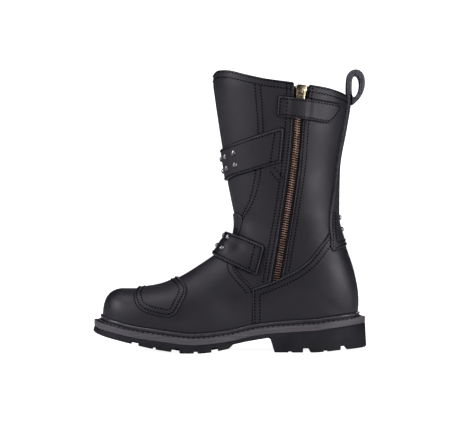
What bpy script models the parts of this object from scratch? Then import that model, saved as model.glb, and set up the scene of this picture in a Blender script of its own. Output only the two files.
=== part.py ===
"""A biker boot: the right one of a pair, toe towards -X, zip side towards -Y.

Every leather piece is cut from one form function. It runs from the sizes of the last through
a table of sections, which lean from upright at the toe to level at the collar.
"""

import math

import bmesh
import bpy
import numpy as np
from mathutils import Matrix, Vector
from mathutils.bvhtree import BVHTree

# Driving sizes of the last and the shaft, in metres.
LENGTH = 0.286  # the upper's base, from the toe to the back of the heel
BALL = 0.102  # widest part of the upper's forefoot
HEEL = 0.030  # top of the outsole at the back
SEAT = 0.0346  # base of the upper at the back
INSTEP = 0.110  # from there up to the bend at the front of the ankle
HEIGHT = 0.310  # front corner of the collar above the floor
REST = 0.76  # the heel's tread centre along the last: the origin lies there

# Leather, clearances and stitched layers.
WALL = 0.0025
GAP = 0.0003
OVERLAY = 0.0014
GUARD = 0.0018
STRAP = 0.0026
STRAP_STANDS_OFF = 0.0060
COLLAR_ARCH = 0.0095

# The sole: how round its ends are, and its layers above the top of the outsole.
TOE_ROUND = 0.043
HEEL_ROUND = 0.038
MIDSOLE = 0.0040
WELT = 0.0030
BEAD_HEIGHT = 0.0088
BEAD_WIDTH = 0.0046
WELT_SHELF = 0.0038
INSOLE = 0.0040

# Zip on the inner side.
ZIP_HALF = 0.0062
CHAIN_HALF = 0.0034
TAPE_HALF = 0.0125
TAPE = 0.0010
CHAIN = 0.0022
SLIDER_WIDTH = 0.0122
SLIDER_LENGTH = 0.0140
SLIDER_THICK = 0.0031
BRIDGE_WIDTH = 0.0026
BRIDGE_HALF = 0.0040
BRIDGE_RISE = 0.0026
BRIDGE_BAR = 0.0011
PULL_LENGTH = 0.0200
PULL_WIDTH = 0.0092
PULL = 0.0010
FLAP_BULGE = 0.0044

# Studs, pull loop and buckles.
STUD_RADIUS = 0.0031
STUD_HEIGHT = 0.0022
LOOP_WIDTH = 0.0190
WIRE = 0.0016
BUCKLE_LONG = 0.0240

# How finely the form is drawn.
SIDE_POINTS = 11

# One row a section, toe to collar. Ends of the section in the side view: along is a share of
# LENGTH from the toe, rise a share of INSTEP above the base line and, past 1, of the shaft.
# Widths are shares of BALL: half width, its middle at the foot end and at the top end, and the
# half width left open at the foot end. widest is where along the section the half width falls,
# top and low are how square the section is above and below that.
SECTIONS = (
    # top_along, top_rise, foot_along, foot_rise, half, middle, ridge, open, widest, top, low, arch
    (0.004, 0.000, 0.004, 0.000, 0.000, -0.059, -0.059, 0.000, 0.30, 2.6, 2.0, 0.0),
    (0.005, 0.125, 0.005, 0.000, 0.045, -0.059, -0.059, 0.043, 0.30, 2.6, 1.7, 0.0),
    (0.012, 0.228, 0.013, 0.000, 0.130, -0.059, -0.059, 0.126, 0.30, 2.6, 1.7, 0.0),
    (0.031, 0.312, 0.032, 0.000, 0.220, -0.057, -0.057, 0.212, 0.30, 2.6, 1.7, 0.0),
    (0.067, 0.363, 0.067, 0.000, 0.303, -0.047, -0.052, 0.288, 0.30, 2.6, 1.7, 0.0),
    (0.140, 0.388, 0.140, 0.000, 0.390, -0.025, -0.045, 0.366, 0.30, 2.5, 1.7, 0.0),
    (0.225, 0.431, 0.231, 0.000, 0.450, 0.002, -0.042, 0.420, 0.30, 2.3, 1.6, 0.0),
    (0.297, 0.504, 0.318, 0.000, 0.478, 0.018, -0.040, 0.440, 0.29, 2.1, 1.5, 0.0),
    (0.373, 0.599, 0.429, 0.000, 0.462, 0.035, -0.034, 0.414, 0.25, 1.95, 1.5, 0.0),
    (0.436, 0.684, 0.560, 0.000, 0.404, 0.041, -0.022, 0.342, 0.24, 1.9, 1.4, 0.0),
    (0.484, 0.760, 0.718, 0.000, 0.350, 0.012, -0.010, 0.292, 0.32, 1.95, 1.4, 0.0),
    (0.511, 0.838, 0.850, 0.000, 0.334, 0.000, -0.004, 0.274, 0.40, 2.05, 1.4, 0.0),
    (0.516, 0.890, 0.917, 0.000, 0.334, 0.000, 0.000, 0.240, 0.44, 2.1, 1.6, 0.0),
    (0.518, 0.924, 0.960, 0.000, 0.334, 0.000, 0.000, 0.178, 0.47, 2.15, 1.8, 0.0),
    (0.519, 0.950, 0.987, 0.000, 0.335, 0.000, 0.000, 0.098, 0.49, 2.2, 2.1, 0.0),
    (0.520, 0.975, 0.996, 0.000, 0.342, 0.000, 0.000, 0.000, 0.50, 2.2, 2.4, 0.0),
    (0.518, 1.036, 1.003, 0.214, 0.340, 0.000, 0.000, 0.000, 0.50, 2.2, 2.5, 0.0),
    (0.511, 1.090, 0.985, 0.483, 0.340, 0.000, 0.000, 0.000, 0.50, 2.2, 2.4, 0.0),
    (0.503, 1.159, 0.951, 0.758, 0.350, 0.000, 0.000, 0.000, 0.50, 2.2, 2.3, 0.0),
    (0.492, 1.254, 0.922, 1.063, 0.376, 0.000, 0.000, 0.000, 0.50, 2.15, 2.2, 0.0),
    (0.476, 1.432, 0.925, 1.350, 0.412, 0.000, 0.000, 0.000, 0.50, 2.1, 2.1, 0.0),
    (0.457, 1.637, 0.950, 1.617, 0.456, 0.000, 0.000, 0.000, 0.50, 2.1, 2.1, 0.0),
    (0.440, 1.836, 0.966, 1.781, 0.490, 0.000, 0.000, 0.000, 0.50, 2.1, 2.1, 0.25),
    (0.433, 1.931, 0.968, 1.822, 0.500, 0.000, 0.000, 0.000, 0.50, 2.1, 2.1, 0.6),
    (0.433, 1.993, 0.969, 1.853, 0.505, 0.000, 0.000, 0.000, 0.50, 2.1, 2.1, 1.0),
)
CLOSED_FROM = 15  # the first section whose sides meet at the back

# How the collar's edge stands above the straight line from its back to its front corner:
# share of the way forward, share of COLLAR_ARCH.
ARCH = (
    (0.0, 0.0), (0.07, 0.22), (0.18, 0.36), (0.40, 0.30), (0.60, 0.24),
    (0.78, 0.46), (0.90, 0.70), (0.97, 0.60), (1.0, 0.20),
)

# Sole outline, toe to heel: along is a share of LENGTH, middle and half are shares of BALL, and
# top (of the outsole) and tread are shares of HEEL. The two rests on the floor have tread 0.
SOLE = (
    # along, middle, half, top, tread
    (-0.0335, -0.059, 0.050, 0.930, 0.700),
    (-0.0280, -0.059, 0.115, 0.917, 0.680),
    (-0.0100, -0.057, 0.230, 0.865, 0.640),
    (0.0150, -0.052, 0.314, 0.800, 0.580),
    (0.0500, -0.043, 0.382, 0.730, 0.500),
    (0.1000, -0.027, 0.443, 0.620, 0.390),
    (0.1550, -0.012, 0.486, 0.530, 0.270),
    (0.2150, 0.002, 0.518, 0.455, 0.150),
    (0.2700, 0.012, 0.534, 0.380, 0.070),
    (0.3150, 0.020, 0.541, 0.325, 0.000),
    (0.3600, 0.026, 0.539, 0.297, 0.000),
    (0.3950, 0.031, 0.531, 0.310, 0.000),
    (0.4350, 0.038, 0.512, 0.340, 0.045),
    (0.4800, 0.045, 0.486, 0.395, 0.125),
    (0.5000, 0.047, 0.470, 0.420, 0.170),
    (0.5090, 0.047, 0.464, 0.435, 0.300),
    (0.5600, 0.044, 0.434, 0.545, 0.400),
    (0.6100, 0.037, 0.411, 0.633, 0.480),
    (0.6550, 0.027, 0.400, 0.683, 0.545),
    (0.6720, 0.022, 0.398, 0.700, 0.000),
    (0.7250, 0.009, 0.394, 0.738, 0.000),
    (0.7700, 0.003, 0.391, 0.767, 0.000),
    (0.8300, 0.000, 0.388, 0.800, 0.000),
    (0.8800, 0.000, 0.370, 0.865, 0.040),
    (0.9300, 0.000, 0.325, 0.925, 0.085),
    (0.9700, 0.000, 0.264, 0.970, 0.100),
    (1.0000, 0.000, 0.195, 1.000, 0.110),
    (1.0200, 0.000, 0.127, 1.020, 0.115),
    (1.0320, 0.000, 0.062, 1.035, 0.120),
)

# Notches between the lugs: from and to along the last, depth as a share of HEEL, and how much
# of the half width they take from each side (1 is right across).
NOTCHES = (
    (0.121, 0.147, 0.10, 0.50),
    (0.204, 0.214, 0.07, 0.40),
    (0.275, 0.304, 0.16, 0.55),
    (0.361, 0.375, 0.08, 0.40),
    (0.430, 0.452, 0.15, 0.55),
    (0.726, 0.738, 0.07, 0.34),
    (0.783, 0.810, 0.16, 1.00),
    (0.863, 0.876, 0.09, 0.34),
    (0.930, 0.952, 0.14, 1.00),
)
# Grooves across the middle of the forefoot, between those notches.
GROOVES = (
    (0.165, 0.177, 0.08, 0.34),
    (0.240, 0.252, 0.10, 0.34),
    (0.410, 0.422, 0.10, 0.34),
)

# Outlines in the side view. Each point is a share of LENGTH along and a share of HEIGHT up.
# A piece that goes round the toe, the front or the back has points past the form there.
SHIFT_PAD = (
    (0.141, 0.300), (0.141, 0.227), (0.130, 0.207), (0.132, 0.189), (0.144, 0.167),
    (0.162, 0.152), (0.191, 0.142), (0.225, 0.135), (0.262, 0.130), (0.278, 0.134),
    (0.293, 0.145), (0.309, 0.173), (0.328, 0.206), (0.332, 0.221), (0.326, 0.236),
    (0.311, 0.250), (0.290, 0.264), (0.290, 0.300),
)
VAMP = (
    (-0.050, -0.050), (0.584, -0.050), (0.584, 0.231), (0.575, 0.240), (0.540, 0.273),
    (0.515, 0.301), (0.524, 0.370), (0.533, 0.418), (0.543, 0.453), (0.548, 0.472),
    (0.547, 0.483), (0.540, 0.491), (0.526, 0.497), (0.440, 0.497), (0.300, 0.420), (-0.050, 0.300),
)
COUNTER = (
    (0.587, -0.050), (1.100, -0.050), (1.100, 0.418), (0.960, 0.375), (0.901, 0.357),
    (0.890, 0.359), (0.885, 0.366), (0.885, 0.420), (0.872, 0.403), (0.848, 0.372),
    (0.814, 0.333), (0.781, 0.306), (0.747, 0.286), (0.697, 0.263), (0.648, 0.244), (0.587, 0.225),
)
BACK_STAY = (
    (1.100, 1.100), (0.966, 1.100), (0.964, 0.950), (0.949, 0.837), (0.933, 0.766),
    (0.918, 0.679), (0.905, 0.592), (0.896, 0.545), (0.891, 0.510), (0.888, 0.464),
    (0.888, 0.437), (0.890, 0.419), (0.890, 0.380), (0.894, 0.364), (0.901, 0.363),
    (0.960, 0.381), (1.100, 0.424),
)
STRAP_UPPER = (
    (0.400, 0.700), (0.458, 0.722), (0.471, 0.732), (0.591, 0.769), (0.704, 0.800),
    (0.692, 0.681), (0.591, 0.653), (0.509, 0.630), (0.482, 0.611), (0.470, 0.603), (0.400, 0.588),
)
STRAP_LOWER = ((0.390, 0.359), (0.603, 0.275), (0.635, 0.378), (0.440, 0.457))
# The flap's lower and upper edges, front to back. The zip runs under its middle.
FLAP_LOW = ((0.682, 0.842), (0.769, 0.836), (0.882, 0.824))
FLAP_HIGH = ((0.687, 0.910), (0.800, 0.900), (0.929, 0.886))
# The zip's middle line down from the collar, and its slot's half width as a share of ZIP_HALF.
ZIP_LINE = (
    (0.782, 1.010, 1.45), (0.776, 0.950, 1.35), (0.767, 0.880, 1.10), (0.762, 0.839, 1.0),
    (0.757, 0.756, 1.0), (0.715, 0.457, 1.05), (0.680, 0.264, 1.0), (0.677, 0.246, 1.0),
)
SLIDER_AT = 0.931
# The pull loop's outer and inner outlines, from where it is sewn on, up and over.
LOOP_OUTER = (
    (0.9795, 0.892), (0.998, 0.902), (1.016, 0.922), (1.029, 0.950), (1.032, 0.980), (1.024, 1.006),
    (1.006, 1.019), (0.984, 1.019), (0.966, 1.006), (0.959, 0.980), (0.9595, 0.927), (0.9795, 0.925),
)
LOOP_INNER = (
    (0.986, 0.921), (0.994, 0.924), (1.002, 0.933), (1.008, 0.948), (1.010, 0.968), (1.007, 0.985),
    (1.000, 0.996), (0.992, 0.997), (0.985, 0.990), (0.981, 0.976), (0.980, 0.950), (0.981, 0.930),
)
# Studs on the upper strap: degrees round the shaft from its front, and heights as shares of HEIGHT.
# They stand on both sides, and the middle ones at the front.
STRAP_STUDS = ((27.5, 0.715), (27.5, 0.673), (14.5, 0.703), (14.5, 0.661))
FRONT_STUDS = (0.695, 0.652)
SHAFT_AXIS = 0.700
INSTEP_STUDS = (0.409, 0.368)
LOWER_STUDS = ((11.5, 0.409), (11.5, 0.368))
BACK_STUDS = (0.481, 0.437)
# Buckles on the outer side: where along and up, the slope of the strap there and its width.
BUCKLES = (
    ("buckle_upper", 0.600, 0.712, 0.20, 0.036),
    ("buckle_lower", 0.586, 0.337, -0.44, 0.034),
)


def clear_scene():
    for thing in list(bpy.data.objects):
        bpy.data.objects.remove(thing, do_unlink=True)


def collection(name, hidden=False):
    made = bpy.data.collections.new(name)
    bpy.context.scene.collection.children.link(made)
    made.hide_render = hidden
    return made


def finish(obj, color, roughness, metallic=0.0):
    """Gives the piece its own plain material."""
    made = bpy.data.materials.new(obj.name)
    made.use_nodes = True
    shader = made.node_tree.nodes["Principled BSDF"]
    shader.inputs["Base Color"].default_value = (*color, 1.0)
    shader.inputs["Roughness"].default_value = roughness
    shader.inputs["Metallic"].default_value = metallic
    obj.data.materials.clear()
    obj.data.materials.append(made)
    return obj


def add_mesh(name, points, faces, into):
    data = bpy.data.meshes.new(name)
    data.from_pydata([tuple(map(float, p)) for p in points], [], [tuple(map(int, f)) for f in faces])
    data.validate()
    obj = bpy.data.objects.new(name, data)
    into.objects.link(obj)
    face_out(obj)
    return obj


def face_out(obj):
    shape = bmesh.new()
    shape.from_mesh(obj.data)
    bmesh.ops.recalc_face_normals(shape, faces=shape.faces)
    if shape.calc_volume(signed=True) < 0:
        bmesh.ops.reverse_faces(shape, faces=shape.faces)
    shape.to_mesh(obj.data)
    shape.free()


def along(share):
    return (share - REST) * LENGTH


def smooth(xs, ys, x):
    """A curve through the points that never swings past them, for an array of places."""
    xs, ys, x = (np.asarray(v, float) for v in (xs, ys, x))
    step = np.diff(xs)
    slope = np.diff(ys) / step
    tangent = np.zeros_like(ys)
    same = slope[1:] * slope[:-1] > 0
    weight_a = 2 * step[1:] + step[:-1]
    weight_b = step[1:] + 2 * step[:-1]
    with np.errstate(divide="ignore", invalid="ignore"):
        mean = (weight_a + weight_b) / (weight_a / slope[:-1] + weight_b / slope[1:])
    tangent[1:-1] = np.where(same, mean, 0.0)
    tangent[0], tangent[-1] = slope[0], slope[-1]
    i = np.clip(np.searchsorted(xs, x, side="right") - 1, 0, len(step) - 1)
    t = np.clip((x - xs[i]) / step[i], 0.0, 1.0)
    h = step[i]
    return (
        ys[i] * (1 + 2 * t) * (1 - t) ** 2
        + tangent[i] * h * t * (1 - t) ** 2
        + ys[i + 1] * t * t * (3 - 2 * t)
        - tangent[i + 1] * h * t * t * (1 - t)
    )


def sole_column(name, x):
    """A column of SOLE at shares x of LENGTH, straight between the rows, in metres."""
    column = {"middle": 1, "half": 2, "top": 3, "tread": 4}[name]
    unit = BALL if column < 3 else HEEL
    return unit * np.interp(x, [row[0] for row in SOLE], [row[column] for row in SOLE])


def base_line(x):
    """Height of the upper's base at shares x of LENGTH."""
    return sole_column("top", x) + MIDSOLE + GAP


def height_of(x, rise):
    """Height at a rise: from the base line, through the heel's seat, up the shaft."""
    low = np.clip(rise, 0.0, 1.0)
    ease = low * low * (3 - 2 * low)
    foot = base_line(x) * (1 - ease) + SEAT * ease + low * INSTEP
    return foot + np.clip(rise - 1.0, 0.0, None) * (HEIGHT - SEAT - INSTEP)


def section_side(row, side):
    """Points of one side (-1 inner, 1 outer) of a section, from its foot end to its top."""
    top_x, top_rise, foot_x, foot_rise, half, middle, ridge, opening, widest, top, low, arch = row
    turn = np.linspace(0.0, math.pi, 161)
    s = (1 - np.cos(turn)) / 2
    above = np.clip((s - widest) / (1 - widest), 0.0, 1.0)
    below = np.clip((widest - s) / widest, 0.0, 1.0)
    upper = half * (1 - above**top) ** (1 / top)
    lower = opening + (half - opening) * (1 - below**low) ** (1 / low)
    width = np.where(s > widest, upper, lower)
    x = along(foot_x + (top_x - foot_x) * s)
    foot_z = height_of(foot_x, foot_rise)
    top_z = height_of(top_x, top_rise)
    lift = np.interp(s, [p[0] for p in ARCH], [p[1] for p in ARCH]) * arch * COLLAR_ARCH
    z = foot_z + (top_z - foot_z) * s + lift
    y = BALL * (middle + (ridge - middle) * s + side * width)
    return np.stack([x, y, z], axis=1)


def spread(points, count):
    """The same line with count + 1 points, evenly far apart."""
    steps = np.linalg.norm(np.diff(points, axis=0), axis=1)
    far = np.concatenate([[0.0], np.cumsum(steps)])
    if far[-1] < 1e-9:
        return np.repeat(points[:1], count + 1, axis=0)
    wanted = np.linspace(0.0, far[-1], count + 1)
    return np.stack([np.interp(wanted, far, points[:, k]) for k in range(3)], axis=1)


def form_rows():
    """Section numbers at which the form is drawn: every row of the table and some between."""
    last = len(SECTIONS) - 1
    fine = np.arange(0, last + 1, dtype=float)
    between = [5.5, 6.5, 7.5, 8.5, 9.5, 10.5]
    return np.sort(np.concatenate([fine, between]))


def form_grid(side_points=SIDE_POINTS):
    """Points of the form, a row a section: inner foot end, over the top, outer foot end."""
    numbers = np.arange(len(SECTIONS), dtype=float)
    table = np.array(SECTIONS, float)
    grid = []
    for t in form_rows():
        row = [float(smooth(numbers, table[:, k], [t])[0]) for k in range(table.shape[1])]
        if t >= CLOSED_FROM:
            row[7] = 0.0
        inner = spread(section_side(row, -1), side_points)
        outer = spread(section_side(row, 1), side_points)[::-1]
        grid.append(np.concatenate([inner, outer[1:]]))
    return np.array(grid)


def form_faces(grid):
    """Welded points of the form and its triangles, split the same way on both sides."""
    rows, columns = grid.shape[:2]
    number = np.arange(rows * columns).reshape(rows, columns)
    number[0, :] = number[0, 0]
    for i, t in enumerate(form_rows()):
        if t >= CLOSED_FROM:
            number[i, -1] = number[i, 0]
    used, number = np.unique(number, return_inverse=True)
    number = number.reshape(rows, columns)
    points = grid.reshape(-1, 3)[used]
    faces = []
    for i in range(rows - 1):
        for j in range(columns - 1):
            a, b = number[i, j], number[i, j + 1]
            c, d = number[i + 1, j + 1], number[i + 1, j]
            first = j < (columns - 1) // 2
            pair = ((a, b, c), (a, c, d)) if first else ((a, b, d), (b, c, d))
            faces.extend(f for f in pair if len(set(f)) == 3)
    return points, np.array(faces)


def outward(points, faces):
    """Unit normals of the points. On the bottom edge they stay level."""
    corners = points[faces]
    normal = np.cross(corners[:, 1] - corners[:, 0], corners[:, 2] - corners[:, 0])
    total = np.zeros_like(points)
    for k in range(3):
        np.add.at(total, faces[:, k], normal)
    centre = points.mean(axis=0)
    if np.sum(total * (points - centre)) < 0:
        total = -total
    edge = [k for k in set(np.ravel(rim_edges(faces))) if points[k][2] < HEIGHT / 2]
    total[edge, 2] = 0.0
    return total / np.linalg.norm(total, axis=1, keepdims=True)


def rim_edges(faces):
    """Edges that only one triangle has."""
    count = {}
    for face in faces:
        for a, b in ((face[0], face[1]), (face[1], face[2]), (face[2], face[0])):
            key = (min(a, b), max(a, b))
            count[key] = None if key in count else (a, b)
    return [edge for edge in count.values() if edge]


def shell(name, low, high, into):
    """The form as a closed skin between two distances out from it, numbers or functions of the points."""
    points, faces = form_faces(form_grid())
    normal = outward(points, faces)
    near = low(points) if callable(low) else low
    far = high(points) if callable(high) else high
    inside = points + normal * np.reshape(near, (-1, 1))
    outside = points + normal * np.reshape(far, (-1, 1))
    count = len(points)
    every = [tuple(f) for f in faces]
    every += [tuple(f[::-1] + count) for f in faces]
    for a, b in rim_edges(faces):
        every += [(b, a, a + count), (b, a + count, b + count)]
    return add_mesh(name, np.concatenate([outside, inside]), every, into)


def prism(name, outline, y_from, y_to, into):
    """A side-view outline of shares, drawn out between two distances across."""
    flat = [(along(x), HEIGHT * z) for x, z in outline]
    count = len(flat)
    points = [(x, y_from, z) for x, z in flat] + [(x, y_to, z) for x, z in flat]
    faces = [tuple(range(count)), tuple(range(2 * count - 1, count - 1, -1))]
    for i in range(count):
        j = (i + 1) % count
        faces.append((i, i + count, j + count, j))
    return add_mesh(name, points, faces, into)


def cut(obj, tool, operation):
    """Applies a Boolean and leaves the piece as a plain mesh."""
    step = obj.modifiers.new(operation.lower(), "BOOLEAN")
    step.operation = operation
    step.solver = "EXACT"
    step.object = tool
    graph = bpy.context.evaluated_depsgraph_get()
    made = bpy.data.meshes.new_from_object(obj.evaluated_get(graph))
    obj.modifiers.clear()
    obj.data = made
    bpy.data.objects.remove(tool, do_unlink=True)
    return obj


def piece_of_skin(name, low, high, outline, sides=(-1, 1)):
    """A leather piece: the skin between two distances, inside an outline, on the sides named."""
    piece = shell(name, low, high, PARTS)
    y_from = -BALL if -1 in sides else 0.0
    y_to = BALL if 1 in sides else 0.0
    return cut(piece, prism(name + "_outline", outline, y_from, y_to, CUTTERS), "INTERSECT")


def stations(inset=0.0):
    """The sole's outline, inner side from toe to heel and back, moved in towards its middle line."""
    xs = np.array([row[0] for row in SOLE])
    middle = sole_column("middle", xs)
    half = sole_column("half", xs)
    x = along(xs)
    left = np.stack([x, middle - half], axis=1)
    right = np.stack([x, middle + half], axis=1)
    spine_x = np.clip(x, x[0] + TOE_ROUND, x[-1] - HEEL_ROUND)
    spine = np.stack([spine_x, np.interp(spine_x, x, middle)], axis=1)
    loop = np.concatenate([left, right[::-1]])
    inwards = np.concatenate([spine, spine[::-1]]) - loop
    return loop + inwards * (inset / np.linalg.norm(inwards, axis=1, keepdims=True))


def layer(name, heights, into):
    """A sole piece: loops of the outline, each with an inset and a height function, bottom first."""
    loops = []
    for inset, height in heights:
        flat = stations(inset)
        share = flat[:, 0] / LENGTH + REST
        loops.append(np.column_stack([flat, height(share)]))
    count = len(loops[0])
    half = count // 2
    points = np.concatenate(loops)
    faces = []
    for level in range(len(loops) - 1):
        for i in range(count):
            j = (i + 1) % count
            a, b = level * count + i, level * count + j
            faces += [(a, b, b + count), (a, b + count, a + count)]
    top = (len(loops) - 1) * count
    for i in range(half - 1):
        left, right = (i, i + 1), (count - 1 - i, count - 2 - i)
        faces += [(left[0], right[0], right[1]), (left[0], right[1], left[1])]
        faces.append((top + left[0], top + left[1], top + right[1]))
        faces.append((top + left[0], top + right[1], top + right[0]))
    return add_mesh(name, points, faces, into)


def notch_cutter():
    """Every notch and groove of the tread as one set of wedges, wider at the floor."""
    points, faces = [], []
    flare = 0.0012
    for row, middle_only in [(n, False) for n in NOTCHES] + [(g, True) for g in GROOVES]:
        start, end, depth, reach = row
        x0, x1 = along(start), along(end)
        mid = (start + end) / 2
        roof = float(sole_column("tread", mid)) + depth * HEEL
        centre, half = float(sole_column("middle", mid)), float(sole_column("half", mid))
        if middle_only:
            spans = [(centre - reach * half, centre + reach * half)]
        elif reach == 1.0:
            spans = [(centre - 2 * half, centre + 2 * half)]
        else:
            inner_end, outer_end = centre - (1 - reach) * half, centre + (1 - reach) * half
            spans = [(centre - 2 * half, inner_end), (outer_end, centre + 2 * half)]
        for y0, y1 in spans:
            first = len(points)
            for z, grow in ((-HEEL, flare + 0.25 * HEEL * 0.4), (roof, 0.0)):
                points += [(x0 - grow, y0, z), (x1 + grow, y0, z), (x1 + grow, y1, z), (x0 - grow, y1, z)]
            a = first
            faces += [(a, a + 3, a + 2, a + 1), (a + 4, a + 5, a + 6, a + 7)]
            faces += [(a + i, a + (i + 1) % 4, a + 4 + (i + 1) % 4, a + 4 + i) for i in range(4)]
    return add_mesh("notches", points, faces, CUTTERS)


def make_outsole():
    top = lambda x: sole_column("top", x) - GAP / 2
    tread = lambda x: sole_column("tread", x)
    obj = layer("outsole", [(0.0008, tread), (0.0, lambda x: tread(x) + 0.0015), (0.0, top)], PARTS)
    cut(obj, notch_cutter(), "DIFFERENCE")
    return finish(obj, (0.014, 0.015, 0.017), 0.6)


def make_midsole():
    low = lambda x: sole_column("top", x) + GAP / 2
    high = lambda x: sole_column("top", x) + MIDSOLE - GAP / 2
    return finish(layer("midsole", [(0.0006, low), (0.0006, high)], PARTS), (0.07, 0.066, 0.07), 0.65)


def make_insole():
    floor = lambda x: base_line(x)
    inner = solid_form("insole", -(WALL + GAP), PARTS)
    slab = layer("insole_slab", [(0.0, floor), (0.0, lambda x: floor(x) + INSOLE)], CUTTERS)
    return finish(cut(inner, slab, "INTERSECT"), (0.03, 0.026, 0.024), 0.8)


def solid_form(name, out, into):
    """The form as one filled body at a distance out from the skin, reaching well below the base."""
    points, faces = form_faces(form_grid())
    points = points + outward(points, faces) * out
    every = [tuple(f) for f in faces]
    loops = rim_edges(faces)
    count = len(points)
    low_points = {k: n for n, k in enumerate(sorted(set(np.ravel(loops))))}
    extra = np.array([points[k] for k in low_points])
    below = extra[:, 2] < HEIGHT / 2
    extra[below, 2] -= 0.02
    extra[~below, 2] += 0.02
    points = np.concatenate([points, extra])
    for a, b in loops:
        c, d = low_points[a] + count, low_points[b] + count
        every += [(b, a, c), (b, c, d)]
    obj = add_mesh(name, points, every, into)
    shape = bmesh.new()
    shape.from_mesh(obj.data)
    bmesh.ops.holes_fill(shape, edges=[e for e in shape.edges if e.is_boundary], sides=0)
    bmesh.ops.triangulate(shape, faces=[f for f in shape.faces if len(f.verts) > 4])
    shape.to_mesh(obj.data)
    shape.free()
    face_out(obj)
    return obj


def make_welt():
    """The strip on the midsole's edge with the rolled rib that stands against the leather."""
    base = lambda x: sole_column("top", x) + MIDSOLE + GAP / 2
    shelf = lambda x: base(x) + WELT
    margin = WELT_SHELF + BEAD_WIDTH
    steps = [
        (0.0, base),
        (0.0, shelf),
        (margin - BEAD_WIDTH, shelf),
        (margin - 0.92 * BEAD_WIDTH, lambda x: shelf(x) + 0.48 * BEAD_HEIGHT),
        (margin - 0.6 * BEAD_WIDTH, lambda x: shelf(x) + 0.62 * BEAD_HEIGHT),
        (margin + 0.004, lambda x: shelf(x) + 0.5 * BEAD_HEIGHT),
    ]
    ring = layer("welt", steps, PARTS)
    cut(ring, solid_form("welt_inside", OVERLAY + 3 * GAP, CUTTERS), "DIFFERENCE")
    return finish(ring, (0.07, 0.066, 0.07), 0.55)


def zip_column(column, z):
    """The zip's middle (0) or its slot's half width (2), for shares z of HEIGHT."""
    rows = ZIP_LINE[::-1]
    return np.interp(z, [row[1] for row in rows], [row[column] for row in rows])


def zip_strip(half, top, bottom, flared=False):
    """The outline of a strip along the zip, between two shares of HEIGHT."""
    levels = [top] + [row[1] for row in ZIP_LINE if bottom < row[1] < top] + [bottom]
    wide = [half / LENGTH * (float(zip_column(2, z)) if flared else 1.0) for z in levels]
    front = [(float(zip_column(0, z)) - w, z) for z, w in zip(levels, wide)]
    back = [(float(zip_column(0, z)) + w, z) for z, w in zip(levels, wide)]
    return front + back[::-1]


def make_upper():
    obj = shell("upper", -WALL, 0.0, PARTS)
    outline = zip_strip(ZIP_HALF, 1.2, ZIP_LINE[-1][1], flared=True)
    slot = prism("slot", outline, -BALL, -0.2 * BALL, CUTTERS)
    cut(obj, slot, "DIFFERENCE")
    return finish(obj, (0.022, 0.022, 0.025), 0.45)


def make_overlays():
    leather = (0.02, 0.02, 0.023)
    low, high = GAP, GAP + OVERLAY
    made = [
        piece_of_skin("vamp", low, high, VAMP),
        piece_of_skin("counter", low, high, COUNTER),
        piece_of_skin("back_stay", low, low + GUARD, BACK_STAY),
        piece_of_skin("shift_pad", high + GAP, high + GAP + OVERLAY, SHIFT_PAD),
    ]
    for obj in made:
        finish(obj, leather, 0.45)


def strap_lift(points):
    """How far the lower strap stands off the hollow of the instep, towards its upper edge."""
    up = points[:, 2] / HEIGHT
    ahead = points[:, 0] / LENGTH + REST - (0.428 + 0.5 * (up - 0.344))
    front = np.clip((0.105 - ahead) / 0.055, 0.0, 1.0)
    rise = np.clip((up - 0.330) / 0.050, 0.0, 1.0)
    return STRAP_STANDS_OFF * front * front * (3 - 2 * front) * rise * rise * (3 - 2 * rise)


def make_straps():
    leather = (0.02, 0.02, 0.023)
    over = GAP + OVERLAY + GAP
    upper = piece_of_skin("strap_upper", GAP, GAP + STRAP, STRAP_UPPER)
    lower = piece_of_skin(
        "strap_lower",
        lambda points: over + strap_lift(points),
        lambda points: over + STRAP + strap_lift(points),
        STRAP_LOWER,
    )
    finish(upper, leather, 0.42)
    finish(lower, leather, 0.42)


def form_tree():
    """The form as a surface that rays can be cast on."""
    points, faces = form_faces(form_grid())
    return BVHTree.FromPolygons([Vector(p) for p in points], [tuple(map(int, f)) for f in faces])


def on_side(x, z, side):
    """Where the form's side (-1 inner, 1 outer) is at a side-view point, and its way out."""
    start = Vector((along(x), side * BALL, HEIGHT * z))
    place, normal, _, _ = FORM.ray_cast(start, Vector((0, -side, 0)))
    return place, normal if normal.y * side > 0 else -normal


def on_shaft(degrees, z):
    """Where the shaft's surface is, this far round from the front to the outer side, and its way out."""
    turn = math.radians(degrees)
    away = Vector((-math.cos(turn), math.sin(turn), 0))
    axis = Vector((along(SHAFT_AXIS), 0.0, HEIGHT * z))
    place, normal, _, _ = FORM.ray_cast(axis + away * LENGTH, -away)
    return place, normal if normal.dot(away) > 0 else -normal


def frame_at(place, out, down):
    """A matrix whose Z points out, whose Y points up the piece and whose X lies across."""
    out = out.normalized()
    up = (-down - out * out.dot(-down)).normalized()
    return Matrix.Translation(place) @ Matrix((up.cross(out), up, out)).transposed().to_4x4()


def drawn(name, outline, low, high, into):
    """A flat outline in X and Y, drawn out along Z."""
    count = len(outline)
    points = [(x, y, low) for x, y in outline] + [(x, y, high) for x, y in outline]
    faces = [tuple(range(count)), tuple(range(2 * count - 1, count - 1, -1))]
    for i in range(count):
        j = (i + 1) % count
        faces.append((i, i + count, j + count, j))
    return add_mesh(name, points, faces, into)


def place_mesh(obj, matrix):
    obj.data.transform(matrix)
    return obj


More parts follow.
